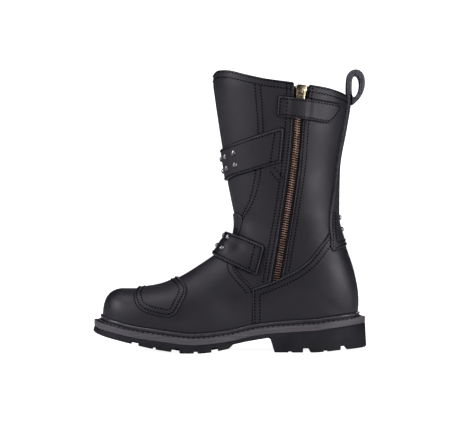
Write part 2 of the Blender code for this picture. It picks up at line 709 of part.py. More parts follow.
def make_zip():
    bottom = ZIP_LINE[-1][1]
    under = -(WALL + GAP)
    tape = piece_of_skin("zip_tape", under - TAPE, under, zip_strip(TAPE_HALF, 0.948, bottom - 0.02), (-1,))
    finish(tape, (0.012, 0.012, 0.013), 0.85)
    end = SLIDER_AT - (0.5 * SLIDER_LENGTH + 2 * GAP) / HEIGHT
    strip = zip_strip(CHAIN_HALF, end, bottom + 0.004)
    chain = piece_of_skin("zip_chain", -WALL, -WALL + CHAIN, strip, (-1,))
    finish(chain, (0.19, 0.09, 0.055), 0.4, 1.0)
    make_slider()


def slider_frame():
    """The slider's frame: its origin on the pull tab's hinge."""
    place, out = on_side(float(zip_column(0, SLIDER_AT)), SLIDER_AT, -1)
    foot, _ = on_side(float(zip_column(0, SLIDER_AT - 0.05)), SLIDER_AT - 0.05, -1)
    lift = -WALL + SLIDER_THICK + GAP + PULL / 2
    return frame_at(place + out * lift, out, foot - place)


def make_slider():
    brass = (0.29, 0.22, 0.115)
    body_top = -(GAP + PULL / 2)
    half, long = SLIDER_WIDTH / 2, SLIDER_LENGTH / 2
    plate = [
        (-0.55 * half, -long), (0.55 * half, -long), (0.84 * half, -0.6 * long), (0.84 * half, -0.05 * long),
        (half, 0.25 * long), (0.92 * half, 0.8 * long), (0.6 * half, long),
        (-0.6 * half, long), (-0.92 * half, 0.8 * long), (-half, 0.25 * long),
        (-0.84 * half, -0.05 * long), (-0.84 * half, -0.6 * long),
    ]
    slider = drawn("zip_slider", plate, body_top - SLIDER_THICK, body_top, PARTS)
    rise = body_top + BRIDGE_RISE + GAP
    deep = body_top - 0.0008
    inside = BRIDGE_HALF - 0.0014
    bridge = [
        (-BRIDGE_HALF, deep), (-inside, deep), (-inside, rise - BRIDGE_BAR), (inside, rise - BRIDGE_BAR),
        (inside, deep), (BRIDGE_HALF, deep), (BRIDGE_HALF, rise - 0.0012), (BRIDGE_HALF - 0.0010, rise),
        (-BRIDGE_HALF + 0.0010, rise), (-BRIDGE_HALF, rise - 0.0012),
    ]
    arch = drawn("bridge", bridge, -BRIDGE_WIDTH / 2, BRIDGE_WIDTH / 2, CUTTERS)
    turn = Matrix(((0, 0, 1, 0), (1, 0, 0, 0), (0, 1, 0, 0), (0, 0, 0, 1)))
    cut(slider, place_mesh(arch, turn), "UNION")
    matrix = slider_frame()
    finish(place_mesh(slider, matrix), brass, 0.32, 1.0)
    make_pull(matrix, brass)


def make_pull(matrix, brass):
    """The pull tab: its crossbar lies under the slider's bridge, on the hinge."""
    bar = 0.0005
    half = PULL_WIDTH / 2
    window_half = BRIDGE_WIDTH / 2 + 2 * GAP
    window_end = -(BRIDGE_HALF + 0.0014)
    outline = [
        (-0.7 * half, bar), (0.7 * half, bar), (half, -0.0020), (half, -PULL_LENGTH + 0.0030),
        (0.6 * half, -PULL_LENGTH), (-0.6 * half, -PULL_LENGTH),
        (-half, -PULL_LENGTH + 0.0030), (-half, -0.0020),
    ]
    pull = drawn("zip_pull", outline, -PULL / 2, PULL / 2, PARTS)
    window = [(-window_half, -bar), (window_half, -bar)]
    window += [(window_half, window_end), (-window_half, window_end)]
    cut(pull, drawn("window", window, -PULL, PULL, CUTTERS), "DIFFERENCE")
    turns = np.arange(8) * math.pi / 4
    eye = [(0.0019 * math.cos(a), 0.0019 * math.sin(a) - PULL_LENGTH + 0.0045) for a in turns]
    cut(pull, drawn("eye", eye, -PULL, PULL, CUTTERS), "DIFFERENCE")
    pull.matrix_world = matrix
    finish(pull, brass, 0.32, 1.0)


def along_edge(edge, share):
    """A point of a short polyline at a share of its reach along the last."""
    xs = [p[0] for p in edge]
    x = xs[0] + share * (xs[-1] - xs[0])
    return x, float(np.interp(x, xs, [p[1] for p in edge]))


def make_flap():
    """The cover sewn over the zip's top, with a bulge over the slider and its tab."""
    columns = [0.0, 0.07, 0.14, 0.20, 0.25, 0.30, 0.35, 0.40, 0.45, 0.50, 0.56, 0.64, 0.76, 0.88, 0.95, 1.0]
    rows = [0.0, 0.06, 0.35, 0.65, 0.94, 1.0]
    wide, narrow = 0.0170, 0.0065
    low, high = [], []
    for v in rows:
        for u in columns:
            x0, z0 = along_edge(FLAP_LOW, u)
            x1, z1 = along_edge(FLAP_HIGH, u)
            trim = 0.006 * (u in (0.0, 1.0)) * (v in (0.0, 1.0)) * (1 if u == 0.0 else -1)
            x, z = x0 + (x1 - x0) * v + trim, z0 + (z1 - z0) * v
            place, out = on_side(x, z, -1)
            far = abs(x - float(zip_column(0, z))) * LENGTH
            ease = min(max((wide - far) / (wide - narrow), 0.0), 1.0)
            lift = 4 * GAP + FLAP_BULGE * ease * ease * (3 - 2 * ease)
            low.append(place + out * lift)
            high.append(place + out * (lift + OVERLAY))
    finish(closed_patch("zip_flap", low, high, len(columns)), (0.02, 0.02, 0.023), 0.45)


def closed_patch(name, low, high, wide):
    """Two grids of points closed round their rim."""
    count, tall = len(low), len(low) // wide
    faces = []
    for j in range(tall - 1):
        for i in range(wide - 1):
            a, b, c, d = j * wide + i, j * wide + i + 1, (j + 1) * wide + i + 1, (j + 1) * wide + i
            faces += [(a, b, c), (a, c, d)]
            faces += [(count + c, count + b, count + a), (count + d, count + c, count + a)]
    rim = list(range(wide)) + [j * wide + wide - 1 for j in range(1, tall)]
    rim += [(tall - 1) * wide + i for i in range(wide - 2, -1, -1)]
    rim += [j * wide for j in range(tall - 2, 0, -1)]
    for k, a in enumerate(rim):
        b = rim[(k + 1) % len(rim)]
        faces += [(b, a, count + a), (b, count + a, count + b)]
    return add_mesh(name, low + high, faces, PARTS)


def make_stud(name, place, out, lift):
    """A domed nail head that sits on the leather."""
    profile = ((1.0, 0.0), (0.94, 0.38), (0.62, 0.82), (0.0, 1.0))
    count = 8
    points = []
    for radius, height in profile[:-1]:
        for k in range(count):
            turn = 2 * math.pi * k / count
            flat = STUD_RADIUS * radius
            points.append((flat * math.cos(turn), flat * math.sin(turn), STUD_HEIGHT * height))
    points.append((0, 0, STUD_HEIGHT))
    faces = [tuple(range(count))]
    for level in range(2):
        for k in range(count):
            a, b = level * count + k, level * count + (k + 1) % count
            faces.append((a, b, b + count, a + count))
    faces += [(2 * count + k, 2 * count + (k + 1) % count, 3 * count) for k in range(count)]
    seat = frame_at(place + out * lift, out, Vector((0, 0, -1)))
    obj = place_mesh(add_mesh(name, points, faces, PARTS), seat)
    finish(obj, (0.30, 0.30, 0.31), 0.28, 1.0)


def make_lower_stud(name, degrees, z):
    """A stud on the lower strap, which stands off the instep."""
    place, out = on_shaft(degrees, z)
    lift = GAP + OVERLAY + GAP + STRAP + GAP + float(strap_lift(np.array([place]))[0])
    make_stud(name, place, out, lift)


def make_studs():
    on_strap = GAP + STRAP + GAP
    for side, word in ((-1, "inner"), (1, "outer")):
        for n, (degrees, z) in enumerate(STRAP_STUDS):
            make_stud(f"stud_{word}_{n + 1}", *on_shaft(side * degrees, z), on_strap)
    for n, z in enumerate(FRONT_STUDS):
        make_stud(f"stud_front_{n + 1}", *on_shaft(0, z), on_strap)
    for n, z in enumerate(INSTEP_STUDS):
        make_lower_stud(f"stud_instep_{n + 1}", 0, z)
    for side, word in ((-1, "inner"), (1, "outer")):
        for n, (degrees, z) in enumerate(LOWER_STUDS):
            make_lower_stud(f"stud_lower_{word}_{n + 1}", side * degrees, z)
    for n, z in enumerate(BACK_STUDS):
        make_stud(f"stud_back_{n + 1}", *on_shaft(180, z), GAP + GUARD + GAP)


def make_loop():
    """The pull loop: a folded strap that stands over the collar's back."""
    count = len(LOOP_OUTER)
    points = []
    for y in (-LOOP_WIDTH / 2, LOOP_WIDTH / 2):
        points += [(along(x), y, HEIGHT * z) for x, z in LOOP_OUTER]
        points += [(along(x), y, HEIGHT * z) for x, z in LOOP_INNER]
    faces = []
    for k in range(count):
        a, b = k, (k + 1) % count
        for start, turned in ((0, False), (2 * count, True)):
            ring = [start + a, start + b, start + count + b, start + count + a]
            faces.append(tuple(ring[::-1] if turned else ring))
        faces.append((b, a, 2 * count + a, 2 * count + b))
        faces.append((count + a, count + b, 3 * count + b, 3 * count + a))
    finish(add_mesh("pull_loop", points, faces, PARTS), (0.02, 0.02, 0.023), 0.45)


def wire_ring(name, wide, tall, into):
    """A rounded rectangle of wire, lying flat."""
    corner = 3 * WIRE
    path = []
    for sx, sy, start in ((1, 1, 0), (-1, 1, 90), (-1, -1, 180), (1, -1, 270)):
        for angle in (0, 45, 90):
            turn = math.radians(start + angle)
            x = sx * (wide / 2 - corner) + corner * math.cos(turn)
            y = sy * (tall / 2 - corner) + corner * math.sin(turn)
            path.append((Vector((x, y, 0)), Vector((math.cos(turn), math.sin(turn), 0))))
    sides = 6
    points = []
    for centre, away in path:
        for k in range(sides):
            turn = 2 * math.pi * (k + 0.5) / sides
            points.append(centre + away * WIRE * math.cos(turn) + Vector((0, 0, WIRE * math.sin(turn))))
    faces = []
    for i in range(len(path)):
        for k in range(sides):
            a, b = i * sides + k, i * sides + (k + 1) % sides
            c = (i + 1) % len(path) * sides
            faces.append((a, b, c + (k + 1) % sides, c + k))
    return add_mesh(name, points, faces, into)


def wrap(obj, x, z, slope, lift):
    """Bends a flat piece onto the outer side of the form, at a distance out from it."""
    turn = math.atan(slope)
    for point in obj.data.vertices:
        flat = point.co.copy()
        ahead = math.cos(turn) * flat.x - math.sin(turn) * flat.y
        above = math.sin(turn) * flat.x + math.cos(turn) * flat.y
        place, out = on_side(x + ahead / LENGTH, z + above / HEIGHT, 1)
        point.co = place + out * (lift + flat.z)
    face_out(obj)
    return obj


def make_buckles():
    for name, x, z, slope, strap in BUCKLES:
        under = GAP + OVERLAY if name == "buckle_lower" else 0.0
        frame = wire_ring(name, BUCKLE_LONG, strap + 4 * WIRE, PARTS)
        inner = BUCKLE_LONG / 2 - WIRE / 2
        tip = inner + 1.5 * WIRE
        prong = [(-inner, -WIRE), (0, -WIRE), (tip, -WIRE), (tip, WIRE), (0, WIRE), (-inner, WIRE)]
        cut(frame, drawn("prong", prong, 0.1 * WIRE, 1.6 * WIRE, CUTTERS), "UNION")
        wrap(frame, x, z, slope, under + GAP + STRAP + WIRE + 3 * GAP)
        finish(frame, (0.30, 0.30, 0.31), 0.3, 1.0)


def build():
    make_outsole()
    make_midsole()
    make_welt()
    make_insole()
    make_upper()
    make_overlays()
    make_straps()
    make_zip()
    make_flap()
    make_studs()
    make_loop()
    make_buckles()


clear_scene()
PARTS = collection("biker_boot")
CUTTERS = collection("cutters", hidden=True)
FORM = form_tree()
build()
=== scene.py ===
"""Looks of the biker boot: leather panels cut from the last's own form, stitched rows, zip,
studs, storm welt and moulded sole, with their finishes, lights and camera."""

import math

import bmesh
import bpy
import numpy as np
from mathutils import Matrix, Vector
from mathutils.bvhtree import BVHTree


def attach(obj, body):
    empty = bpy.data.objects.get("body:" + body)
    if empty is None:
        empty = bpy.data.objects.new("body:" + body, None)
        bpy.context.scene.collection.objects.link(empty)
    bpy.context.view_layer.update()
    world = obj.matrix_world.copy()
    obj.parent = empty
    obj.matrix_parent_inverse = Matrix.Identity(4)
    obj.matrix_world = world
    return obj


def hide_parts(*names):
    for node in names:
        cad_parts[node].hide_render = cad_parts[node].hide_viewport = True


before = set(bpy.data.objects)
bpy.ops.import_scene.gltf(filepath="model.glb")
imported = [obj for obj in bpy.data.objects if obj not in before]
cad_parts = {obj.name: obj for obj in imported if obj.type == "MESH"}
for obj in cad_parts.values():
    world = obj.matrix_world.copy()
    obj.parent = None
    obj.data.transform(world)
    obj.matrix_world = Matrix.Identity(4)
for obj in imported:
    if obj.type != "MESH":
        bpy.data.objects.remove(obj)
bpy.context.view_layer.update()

# Sizes of the last, the shaft and the sole, in metres, as in the part's source.
LENGTH, BALL, HEEL, SEAT, INSTEP, HEIGHT, REST = 0.286, 0.102, 0.030, 0.0346, 0.110, 0.310, 0.76
WALL, GAP, OVERLAY, STRAP = 0.0025, 0.0003, 0.0014, 0.0026
# Heights over the form: the back stay's outer face, and where a piece that lies on the vamp begins.
STAY_TOP, ON_VAMP = 0.0030, GAP + OVERLAY + GAP
STRAP_STANDS_OFF, COLLAR_ARCH = 0.0060, 0.0095
TOE_ROUND, HEEL_ROUND = 0.043, 0.038
MIDSOLE, WELT, BEAD = 0.0040, 0.0030, 0.0015
ZIP_HALF, TAPE_HALF, TAPE = 0.0062, 0.0125, 0.0010
SLIDER_AT = 0.931
FLAP_BULGE, FLAP_FLAT, FLAP_ROOM = 0.0044, 0.0170, 0.0065
SLOT_CLEAR = 0.0095
STUD_RADIUS, STUD_HEIGHT = 0.0031, 0.0024
LOOP_WIDTH, WIRE, BUCKLE_LONG = 0.0190, 0.0016, 0.0240
SHAFT_AXIS = 0.700

# How finely the leather and the sole's outline are drawn, how round the leather's cut edges are,
# and the distance that stands for far away.
ROW_STEP, SIDE_POINTS, SOLE_STEP = 0.0025, 52, 0.0022
EDGE_ROUND = 0.0009
FAR_OFF = 0.05

# Corners of outlines: rounds of cutting, bends in degrees that count as straight and as sharp, and
# how much of a sharp corner is cut.
CORNER_ROUNDS, STRAIGHT_BEND, SHARP_BEND, SHARP_CUT = 3, 2.0, 50.0, 0.0009

# How high over the welt the rib's middle is, and how high over the sole's top it hugs the leather.
RIB_RISE = 0.0042
RIB_TOP = MIDSOLE + WELT + 0.0062

BOTH = (-1, 1)  # the inner and the outer side

# Distances of the stitched rows in from the cut edges, and half the width of a sewn channel.
ROWS = {
    "upper": (0.0020, 0.0080), "vamp": (0.0022, 0.0078), "counter": (0.0024, 0.0080),
    "back_stay": (0.0020, 0.0066), "shift_pad": (0.0024, 0.0072),
    "strap": (0.0023,), "strap_low": (0.0023,),
}
NO_ROW = 0.0500
CHANNEL = 0.0011
LEATHER_DARK, LEATHER_PALE = (0.0052, 0.0048, 0.0062), (0.0126, 0.0117, 0.0150)

# Stitching: how far apart, how long and how thick.
STITCH_PITCH, STITCH_LONG, STITCH_WIDE = 0.0035, 0.0022, 0.0015
WELT_PITCH, WELT_LONG, WELT_WIDE = 0.0056, 0.0042, 0.0015
TOOTH_PITCH = 0.0026

# Sections of the form, from the toe over the instep and up the shaft. Each runs from its foot end
# to its top. The last columns are the powers of its curve and its share of the collar's arch.
SECTIONS = (
    # top_along, top_rise, foot_along, foot_rise, half, middle, ridge, open, widest, top, low, arch
    (0.004, 0.000, 0.004, 0.000, 0.000, -0.059, -0.059, 0.000, 0.30, 2.6, 2.0, 0.0),
    (0.005, 0.125, 0.005, 0.000, 0.045, -0.059, -0.059, 0.043, 0.30, 2.6, 1.7, 0.0),
    (0.012, 0.228, 0.013, 0.000, 0.130, -0.059, -0.059, 0.126, 0.30, 2.6, 1.7, 0.0),
    (0.031, 0.312, 0.032, 0.000, 0.220, -0.057, -0.057, 0.212, 0.30, 2.6, 1.7, 0.0),
    (0.067, 0.363, 0.067, 0.000, 0.303, -0.047, -0.052, 0.288, 0.30, 2.6, 1.7, 0.0),
    (0.140, 0.388, 0.140, 0.000, 0.390, -0.025, -0.045, 0.366, 0.30, 2.5, 1.7, 0.0),
    (0.225, 0.431, 0.231, 0.000, 0.450, 0.002, -0.042, 0.420, 0.30, 2.3, 1.6, 0.0),
    (0.297, 0.504, 0.318, 0.000, 0.478, 0.018, -0.040, 0.440, 0.29, 2.1, 1.5, 0.0),
    (0.373, 0.599, 0.429, 0.000, 0.462, 0.035, -0.034, 0.414, 0.25, 1.95, 1.5, 0.0),
    (0.436, 0.684, 0.560, 0.000, 0.404, 0.041, -0.022, 0.342, 0.24, 1.9, 1.4, 0.0),
    (0.484, 0.760, 0.718, 0.000, 0.350, 0.012, -0.010, 0.292, 0.32, 1.95, 1.4, 0.0),
    (0.511, 0.838, 0.850, 0.000, 0.334, 0.000, -0.004, 0.274, 0.40, 2.05, 1.4, 0.0),
    (0.516, 0.890, 0.917, 0.000, 0.334, 0.000, 0.000, 0.240, 0.44, 2.1, 1.6, 0.0),
    (0.518, 0.924, 0.960, 0.000, 0.334, 0.000, 0.000, 0.178, 0.47, 2.15, 1.8, 0.0),
    (0.519, 0.950, 0.987, 0.000, 0.335, 0.000, 0.000, 0.098, 0.49, 2.2, 2.1, 0.0),
    (0.520, 0.975, 0.996, 0.000, 0.342, 0.000, 0.000, 0.000, 0.50, 2.2, 2.4, 0.0),
    (0.518, 1.036, 1.003, 0.214, 0.340, 0.000, 0.000, 0.000, 0.50, 2.2, 2.5, 0.0),
    (0.511, 1.090, 0.985, 0.483, 0.340, 0.000, 0.000, 0.000, 0.50, 2.2, 2.4, 0.0),
    (0.503, 1.159, 0.951, 0.758, 0.350, 0.000, 0.000, 0.000, 0.50, 2.2, 2.3, 0.0),
    (0.492, 1.254, 0.922, 1.063, 0.376, 0.000, 0.000, 0.000, 0.50, 2.15, 2.2, 0.0),
    (0.476, 1.432, 0.925, 1.350, 0.412, 0.000, 0.000, 0.000, 0.50, 2.1, 2.1, 0.0),
    (0.457, 1.637, 0.950, 1.617, 0.456, 0.000, 0.000, 0.000, 0.50, 2.1, 2.1, 0.0),
    (0.440, 1.836, 0.966, 1.781, 0.490, 0.000, 0.000, 0.000, 0.50, 2.1, 2.1, 0.25),
    (0.433, 1.931, 0.968, 1.822, 0.500, 0.000, 0.000, 0.000, 0.50, 2.1, 2.1, 0.6),
    (0.433, 1.993, 0.969, 1.853, 0.505, 0.000, 0.000, 0.000, 0.50, 2.1, 2.1, 1.0),
)
CLOSED_FROM = 15  # the first section that closes behind the heel
ARCH = (
    (0.0, 0.0), (0.07, 0.22), (0.18, 0.36), (0.40, 0.30), (0.60, 0.24),
    (0.78, 0.46), (0.90, 0.70), (0.97, 0.60), (1.0, 0.20),
)
# The sole's outline and heights, as shares of LENGTH, BALL, BALL, HEEL and HEEL.
SOLE = (
    # along, middle, half, top, tread
    (-0.0335, -0.059, 0.050, 0.930, 0.700),
    (-0.0280, -0.059, 0.115, 0.917, 0.680),
    (-0.0100, -0.057, 0.230, 0.865, 0.640),
    (0.0150, -0.052, 0.314, 0.800, 0.580),
    (0.0500, -0.043, 0.382, 0.730, 0.500),
    (0.1000, -0.027, 0.443, 0.620, 0.390),
    (0.1550, -0.012, 0.486, 0.530, 0.270),
    (0.2150, 0.002, 0.518, 0.455, 0.150),
    (0.2700, 0.012, 0.534, 0.380, 0.070),
    (0.3150, 0.020, 0.541, 0.325, 0.000),
    (0.3600, 0.026, 0.539, 0.297, 0.000),
    (0.3950, 0.031, 0.531, 0.310, 0.000),
    (0.4350, 0.038, 0.512, 0.340, 0.045),
    (0.4800, 0.045, 0.486, 0.395, 0.125),
    (0.5000, 0.047, 0.470, 0.420, 0.170),
    (0.5090, 0.047, 0.464, 0.435, 0.300),
    (0.5600, 0.044, 0.434, 0.545, 0.400),
    (0.6100, 0.037, 0.411, 0.633, 0.480),
    (0.6550, 0.027, 0.400, 0.683, 0.545),
    (0.6720, 0.022, 0.398, 0.700, 0.000),
    (0.7250, 0.009, 0.394, 0.738, 0.000),
    (0.7700, 0.003, 0.391, 0.767, 0.000),
    (0.8300, 0.000, 0.388, 0.800, 0.000),
    (0.8800, 0.000, 0.370, 0.865, 0.040),
    (0.9300, 0.000, 0.325, 0.925, 0.085),
    (0.9700, 0.000, 0.264, 0.970, 0.100),
    (1.0000, 0.000, 0.195, 1.000, 0.110),
    (1.0200, 0.000, 0.127, 1.020, 0.115),
    (1.0320, 0.000, 0.062, 1.035, 0.120),
)
# The sole's ends, in front of and behind the rows above.
SOLE_TIPS = ((-0.0352, -0.059, 0.0, 0.932, 0.705), (1.0348, 0.0, 0.0, 1.037, 0.121))

# Notches from both sides: start and end along, depth as a share of HEEL and how far in they reach
# as a share of the half width (1 is right across). Grooves lie in the middle and reach both ways.
NOTCHES = (
    (0.121, 0.147, 0.10, 0.50),
    (0.204, 0.214, 0.07, 0.40),
    (0.275, 0.304, 0.16, 0.55),
    (0.361, 0.375, 0.08, 0.40),
    (0.430, 0.452, 0.15, 0.55),
    (0.726, 0.738, 0.07, 0.34),
    (0.783, 0.810, 0.16, 1.00),
    (0.863, 0.876, 0.09, 0.34),
    (0.930, 0.952, 0.14, 1.00),
)
GROOVES = ((0.165, 0.177, 0.08, 0.34), (0.240, 0.252, 0.10, 0.34), (0.410, 0.422, 0.10, 0.34))

# Side-view outlines of the panels: shares of LENGTH along and of HEIGHT up.
SHIFT_PAD = (
    (0.141, 0.300), (0.141, 0.227), (0.130, 0.207), (0.132, 0.189), (0.144, 0.167),
    (0.162, 0.152), (0.191, 0.142), (0.225, 0.135), (0.262, 0.130), (0.278, 0.134),
    (0.293, 0.145), (0.309, 0.173), (0.328, 0.206), (0.332, 0.221), (0.326, 0.236),
    (0.311, 0.250), (0.290, 0.264), (0.290, 0.300),
)
VAMP = (
    (-0.150, -0.150), (0.590, -0.150), (0.590, 0.229), (0.584, 0.231), (0.575, 0.240), (0.540, 0.273),
    (0.515, 0.301), (0.524, 0.370), (0.533, 0.418), (0.543, 0.453), (0.548, 0.472),
    (0.547, 0.483), (0.540, 0.491), (0.526, 0.497), (0.440, 0.497), (0.300, 0.420), (-0.150, 0.300),
)
COUNTER = (
    (0.587, -0.150), (1.200, -0.150), (1.200, 0.640), (0.960, 0.500), (0.905, 0.445), (0.885, 0.420),
    (0.872, 0.403), (0.848, 0.372), (0.814, 0.333), (0.781, 0.306), (0.747, 0.286), (0.697, 0.263),
    (0.648, 0.244), (0.5885, 0.2255), (0.587, 0.224),
)
BACK_STAY = (
    (1.100, 1.100), (0.966, 1.100), (0.964, 0.950), (0.949, 0.837), (0.933, 0.766),
    (0.918, 0.679), (0.905, 0.592), (0.896, 0.545), (0.891, 0.510), (0.888, 0.464),
    (0.888, 0.437), (0.890, 0.419), (0.890, 0.380), (0.892, 0.366), (0.899, 0.362),
    (0.960, 0.381), (1.100, 0.424),
)
STRAP_UPPER = (
    (0.400, 0.700), (0.458, 0.722), (0.471, 0.732), (0.591, 0.769), (0.706, 0.802),
    (0.694, 0.681), (0.591, 0.653), (0.509, 0.630), (0.482, 0.611), (0.470, 0.603), (0.400, 0.588),
)
STRAP_LOWER = ((0.390, 0.359), (0.603, 0.275), (0.635, 0.378), (0.440, 0.457))
FLAP = (
    (0.682, 0.842), (0.769, 0.836), (0.862, 0.822), (0.884, 0.823), (0.898, 0.834), (0.926, 0.872),
    (0.931, 0.884), (0.928, 0.8875), (0.800, 0.902), (0.687, 0.912),
)
ZIP_LINE = (
    (0.782, 1.010, 1.45), (0.776, 0.950, 1.35), (0.767, 0.880, 1.10), (0.762, 0.839, 1.0),
    (0.757, 0.756, 1.0), (0.715, 0.457, 1.05), (0.680, 0.264, 1.0), (0.677, 0.246, 1.0),
)
LOOP_OUTER = (
    (0.9795, 0.892), (0.998, 0.902), (1.016, 0.922), (1.029, 0.950), (1.032, 0.980), (1.024, 1.006),
    (1.006, 1.019), (0.984, 1.019), (0.966, 1.006), (0.959, 0.980), (0.9595, 0.927), (0.9795, 0.925),
)
LOOP_INNER = (
    (0.986, 0.921), (0.994, 0.924), (1.002, 0.933), (1.008, 0.948), (1.010, 0.968), (1.007, 0.985),
    (1.000, 0.996), (0.992, 0.997), (0.985, 0.990), (0.981, 0.976), (0.980, 0.950), (0.981, 0.930),
)
STRAP_STUDS = ((27.5, 0.715), (27.5, 0.673), (14.5, 0.703), (14.5, 0.661))
FRONT_STUDS = (0.695, 0.652)
INSTEP_STUDS = (0.405, 0.360)
LOWER_STUDS = ((10.5, 0.404), (10.0, 0.356))
BACK_STUDS = (0.481, 0.437)
BUCKLES = (
    ("buckle_upper", 0.600, 0.712, 0.20, 0.036),
    ("buckle_lower", 0.586, 0.337, -0.44, 0.034),
)

# Stitched rows that lie on a panel away from its edge. Sides: -1 inner, 1 outer.
SHAFT_ROWS = (
    ("front seam, front row", BOTH, (
        (0.595, 0.952), (0.602, 0.880), (0.608, 0.803), (0.604, 0.721),
        (0.600, 0.655), (0.577, 0.549), (0.547, 0.489),
    )),
    ("front seam, rear row", BOTH, (
        (0.616, 0.947), (0.623, 0.880), (0.627, 0.803), (0.623, 0.721),
        (0.619, 0.653), (0.594, 0.549), (0.551, 0.477),
    )),
    ("strap facing, lower", (-1,), ((0.656, 0.644), (0.691, 0.608))),
    ("strap facing, upper", (-1,), ((0.673, 0.659), (0.703, 0.626))),
    ("zip, front outer", (-1,), (
        (0.717, 0.955), (0.717, 0.904), (0.714, 0.826), (0.708, 0.738),
        (0.682, 0.547), (0.655, 0.400), (0.628, 0.253),
    )),
    ("zip, front inner", (-1,), (
        (0.734, 0.955), (0.734, 0.904), (0.733, 0.826), (0.725, 0.738),
        (0.699, 0.547), (0.671, 0.393), (0.646, 0.263),
    )),
    ("zip, rear inner", (-1,), (
        (0.806, 0.944), (0.798, 0.880), (0.790, 0.830), (0.785, 0.789),
        (0.778, 0.685), (0.758, 0.543), (0.732, 0.400), (0.713, 0.282),
    )),
    ("zip, rear outer", (-1,), (
        (0.817, 0.940), (0.812, 0.880), (0.803, 0.820), (0.794, 0.685),
        (0.772, 0.543), (0.748, 0.400), (0.729, 0.293),
    )),
)
STRAP_UPPER_END = ((0.671, 0.777), (0.657, 0.682))
STRAP_LOWER_END = ((0.600, 0.374), (0.577, 0.300))
FLAP_END = ((0.7196, 0.902), (0.7154, 0.8485))

# Soft folds: where along and up, which way they run (degrees in the side view), half length and
# half width in metres, depth (a trough is negative) and the sides they are on.
FOLDS = (
    (0.560, 0.560, -35.0, 0.030, 0.0100, -0.0010, BOTH),
    (0.600, 0.470, -30.0, 0.034, 0.0110, -0.0012, BOTH),
    (0.585, 0.515, -32.0, 0.030, 0.0080, 0.0007, BOTH),
    (0.800, 0.500, 20.0, 0.030, 0.0120, -0.0010, BOTH),
    (0.830, 0.430, 25.0, 0.026, 0.0100, 0.0008, BOTH),
    (0.400, 0.270, 62.0, 0.026, 0.0120, -0.0007, BOTH),
    (0.350, 0.225, 66.0, 0.024, 0.0110, 0.0005, BOTH),
    (0.520, 0.860, 78.0, 0.050, 0.0220, -0.0008, BOTH),
    (0.880, 0.660, 84.0, 0.060, 0.0180, -0.0006, BOTH),
)

# The studio: soft boxes by place, what they point at, size and watts.
SOFT_BOXES = (
    ("left", (-1.55, -0.75, 0.80), (-0.07, 0.0, 0.16), 0.7, 23.0),
    ("right", (1.30, -0.95, 0.34), (0.01, 0.0, 0.09), 0.6, 19.5),
    ("back", (0.50, 1.60, 0.90), (-0.05, 0.0, 0.15), 0.8, 9.0),
    ("top", (-0.45, -0.30, 1.30), (-0.15, 0.0, 0.08), 0.5, 6.0),
)
LAMP_TINT = (0.95, 0.915, 1.0)
CEILING_LIGHT = 0.7
# How strong the white world is as a light and how bright it looks, and how much the white floor
# shines towards the camera alone.
WORLD_LIGHT, WORLD_SEEN, FLOOR_GLOW = 0.02, 1.5, 0.95


# The form of the boot.

def along(share):
    return (share - REST) * LENGTH


def smooth(xs, ys, x):
    """A curve through the points that never swings past them, for an array of places."""
    xs, ys, x = (np.asarray(v, float) for v in (xs, ys, x))
    step = np.diff(xs)
    slope = np.diff(ys) / step
    tangent = np.zeros_like(ys)
    same = slope[1:] * slope[:-1] > 0
    weight_a = 2 * step[1:] + step[:-1]
    weight_b = step[1:] + 2 * step[:-1]
    with np.errstate(divide="ignore", invalid="ignore"):
        mean = (weight_a + weight_b) / (weight_a / slope[:-1] + weight_b / slope[1:])
    tangent[1:-1] = np.where(same, mean, 0.0)
    tangent[0], tangent[-1] = slope[0], slope[-1]
    i = np.clip(np.searchsorted(xs, x, side="right") - 1, 0, len(step) - 1)
    t = np.clip((x - xs[i]) / step[i], 0.0, 1.0)
    h = step[i]
    return (
        ys[i] * (1 + 2 * t) * (1 - t) ** 2
        + tangent[i] * h * t * (1 - t) ** 2
        + ys[i + 1] * t * t * (3 - 2 * t)
        - tangent[i + 1] * h * t * t * (1 - t)
    )


def ease(x):
    x = np.clip(x, 0.0, 1.0)
    return x * x * (3 - 2 * x)


def sole_column(name, x):
    """A column of SOLE at shares x of LENGTH, in metres. The tread keeps its straight steps."""
    column = {"middle": 1, "half": 2, "top": 3, "tread": 4}[name]
    unit = BALL if column < 3 else HEEL
    xs = [row[0] for row in SOLE]
    ys = [row[column] for row in SOLE]
    return unit * (np.interp(x, xs, ys) if name == "tread" else smooth(xs, ys, x))


def base_line(x):
    return sole_column("top", x) + MIDSOLE + GAP


def height_of(x, rise):
    """Height at a rise: from the base line, through the heel's seat, up the shaft."""
    low = np.clip(rise, 0.0, 1.0)
    foot = base_line(x) * (1 - ease(low)) + SEAT * ease(low) + low * INSTEP
    return foot + np.clip(rise - 1.0, 0.0, None) * (HEIGHT - SEAT - INSTEP)


def section_side(row, side):
    """Points of one side (-1 inner, 1 outer) of a section, from its foot end to its top."""
    top_x, top_rise, foot_x, foot_rise, half, middle, ridge, opening, widest, top, low, arch = row
    turn = np.linspace(0.0, math.pi, 161)
    s = (1 - np.cos(turn)) / 2
    above = np.clip((s - widest) / (1 - widest), 0.0, 1.0)
    below = np.clip((widest - s) / widest, 0.0, 1.0)
    upper = half * (1 - above**top) ** (1 / top)
    lower = opening + (half - opening) * (1 - below**low) ** (1 / low)
    width = np.where(s > widest, upper, lower)
    x = along(foot_x + (top_x - foot_x) * s)
    foot_z = height_of(foot_x, foot_rise)
    top_z = height_of(top_x, top_rise)
    lift = smooth([p[0] for p in ARCH], [p[1] for p in ARCH], s) * arch * COLLAR_ARCH
    z = foot_z + (top_z - foot_z) * s + lift
    y = BALL * (middle + (ridge - middle) * s + side * width)
    return np.stack([x, y, z], axis=1)


def distances(points):
    """How far along a line each of its points is."""
    return np.concatenate([[0.0], np.cumsum(np.linalg.norm(np.diff(points, axis=0), axis=1))])


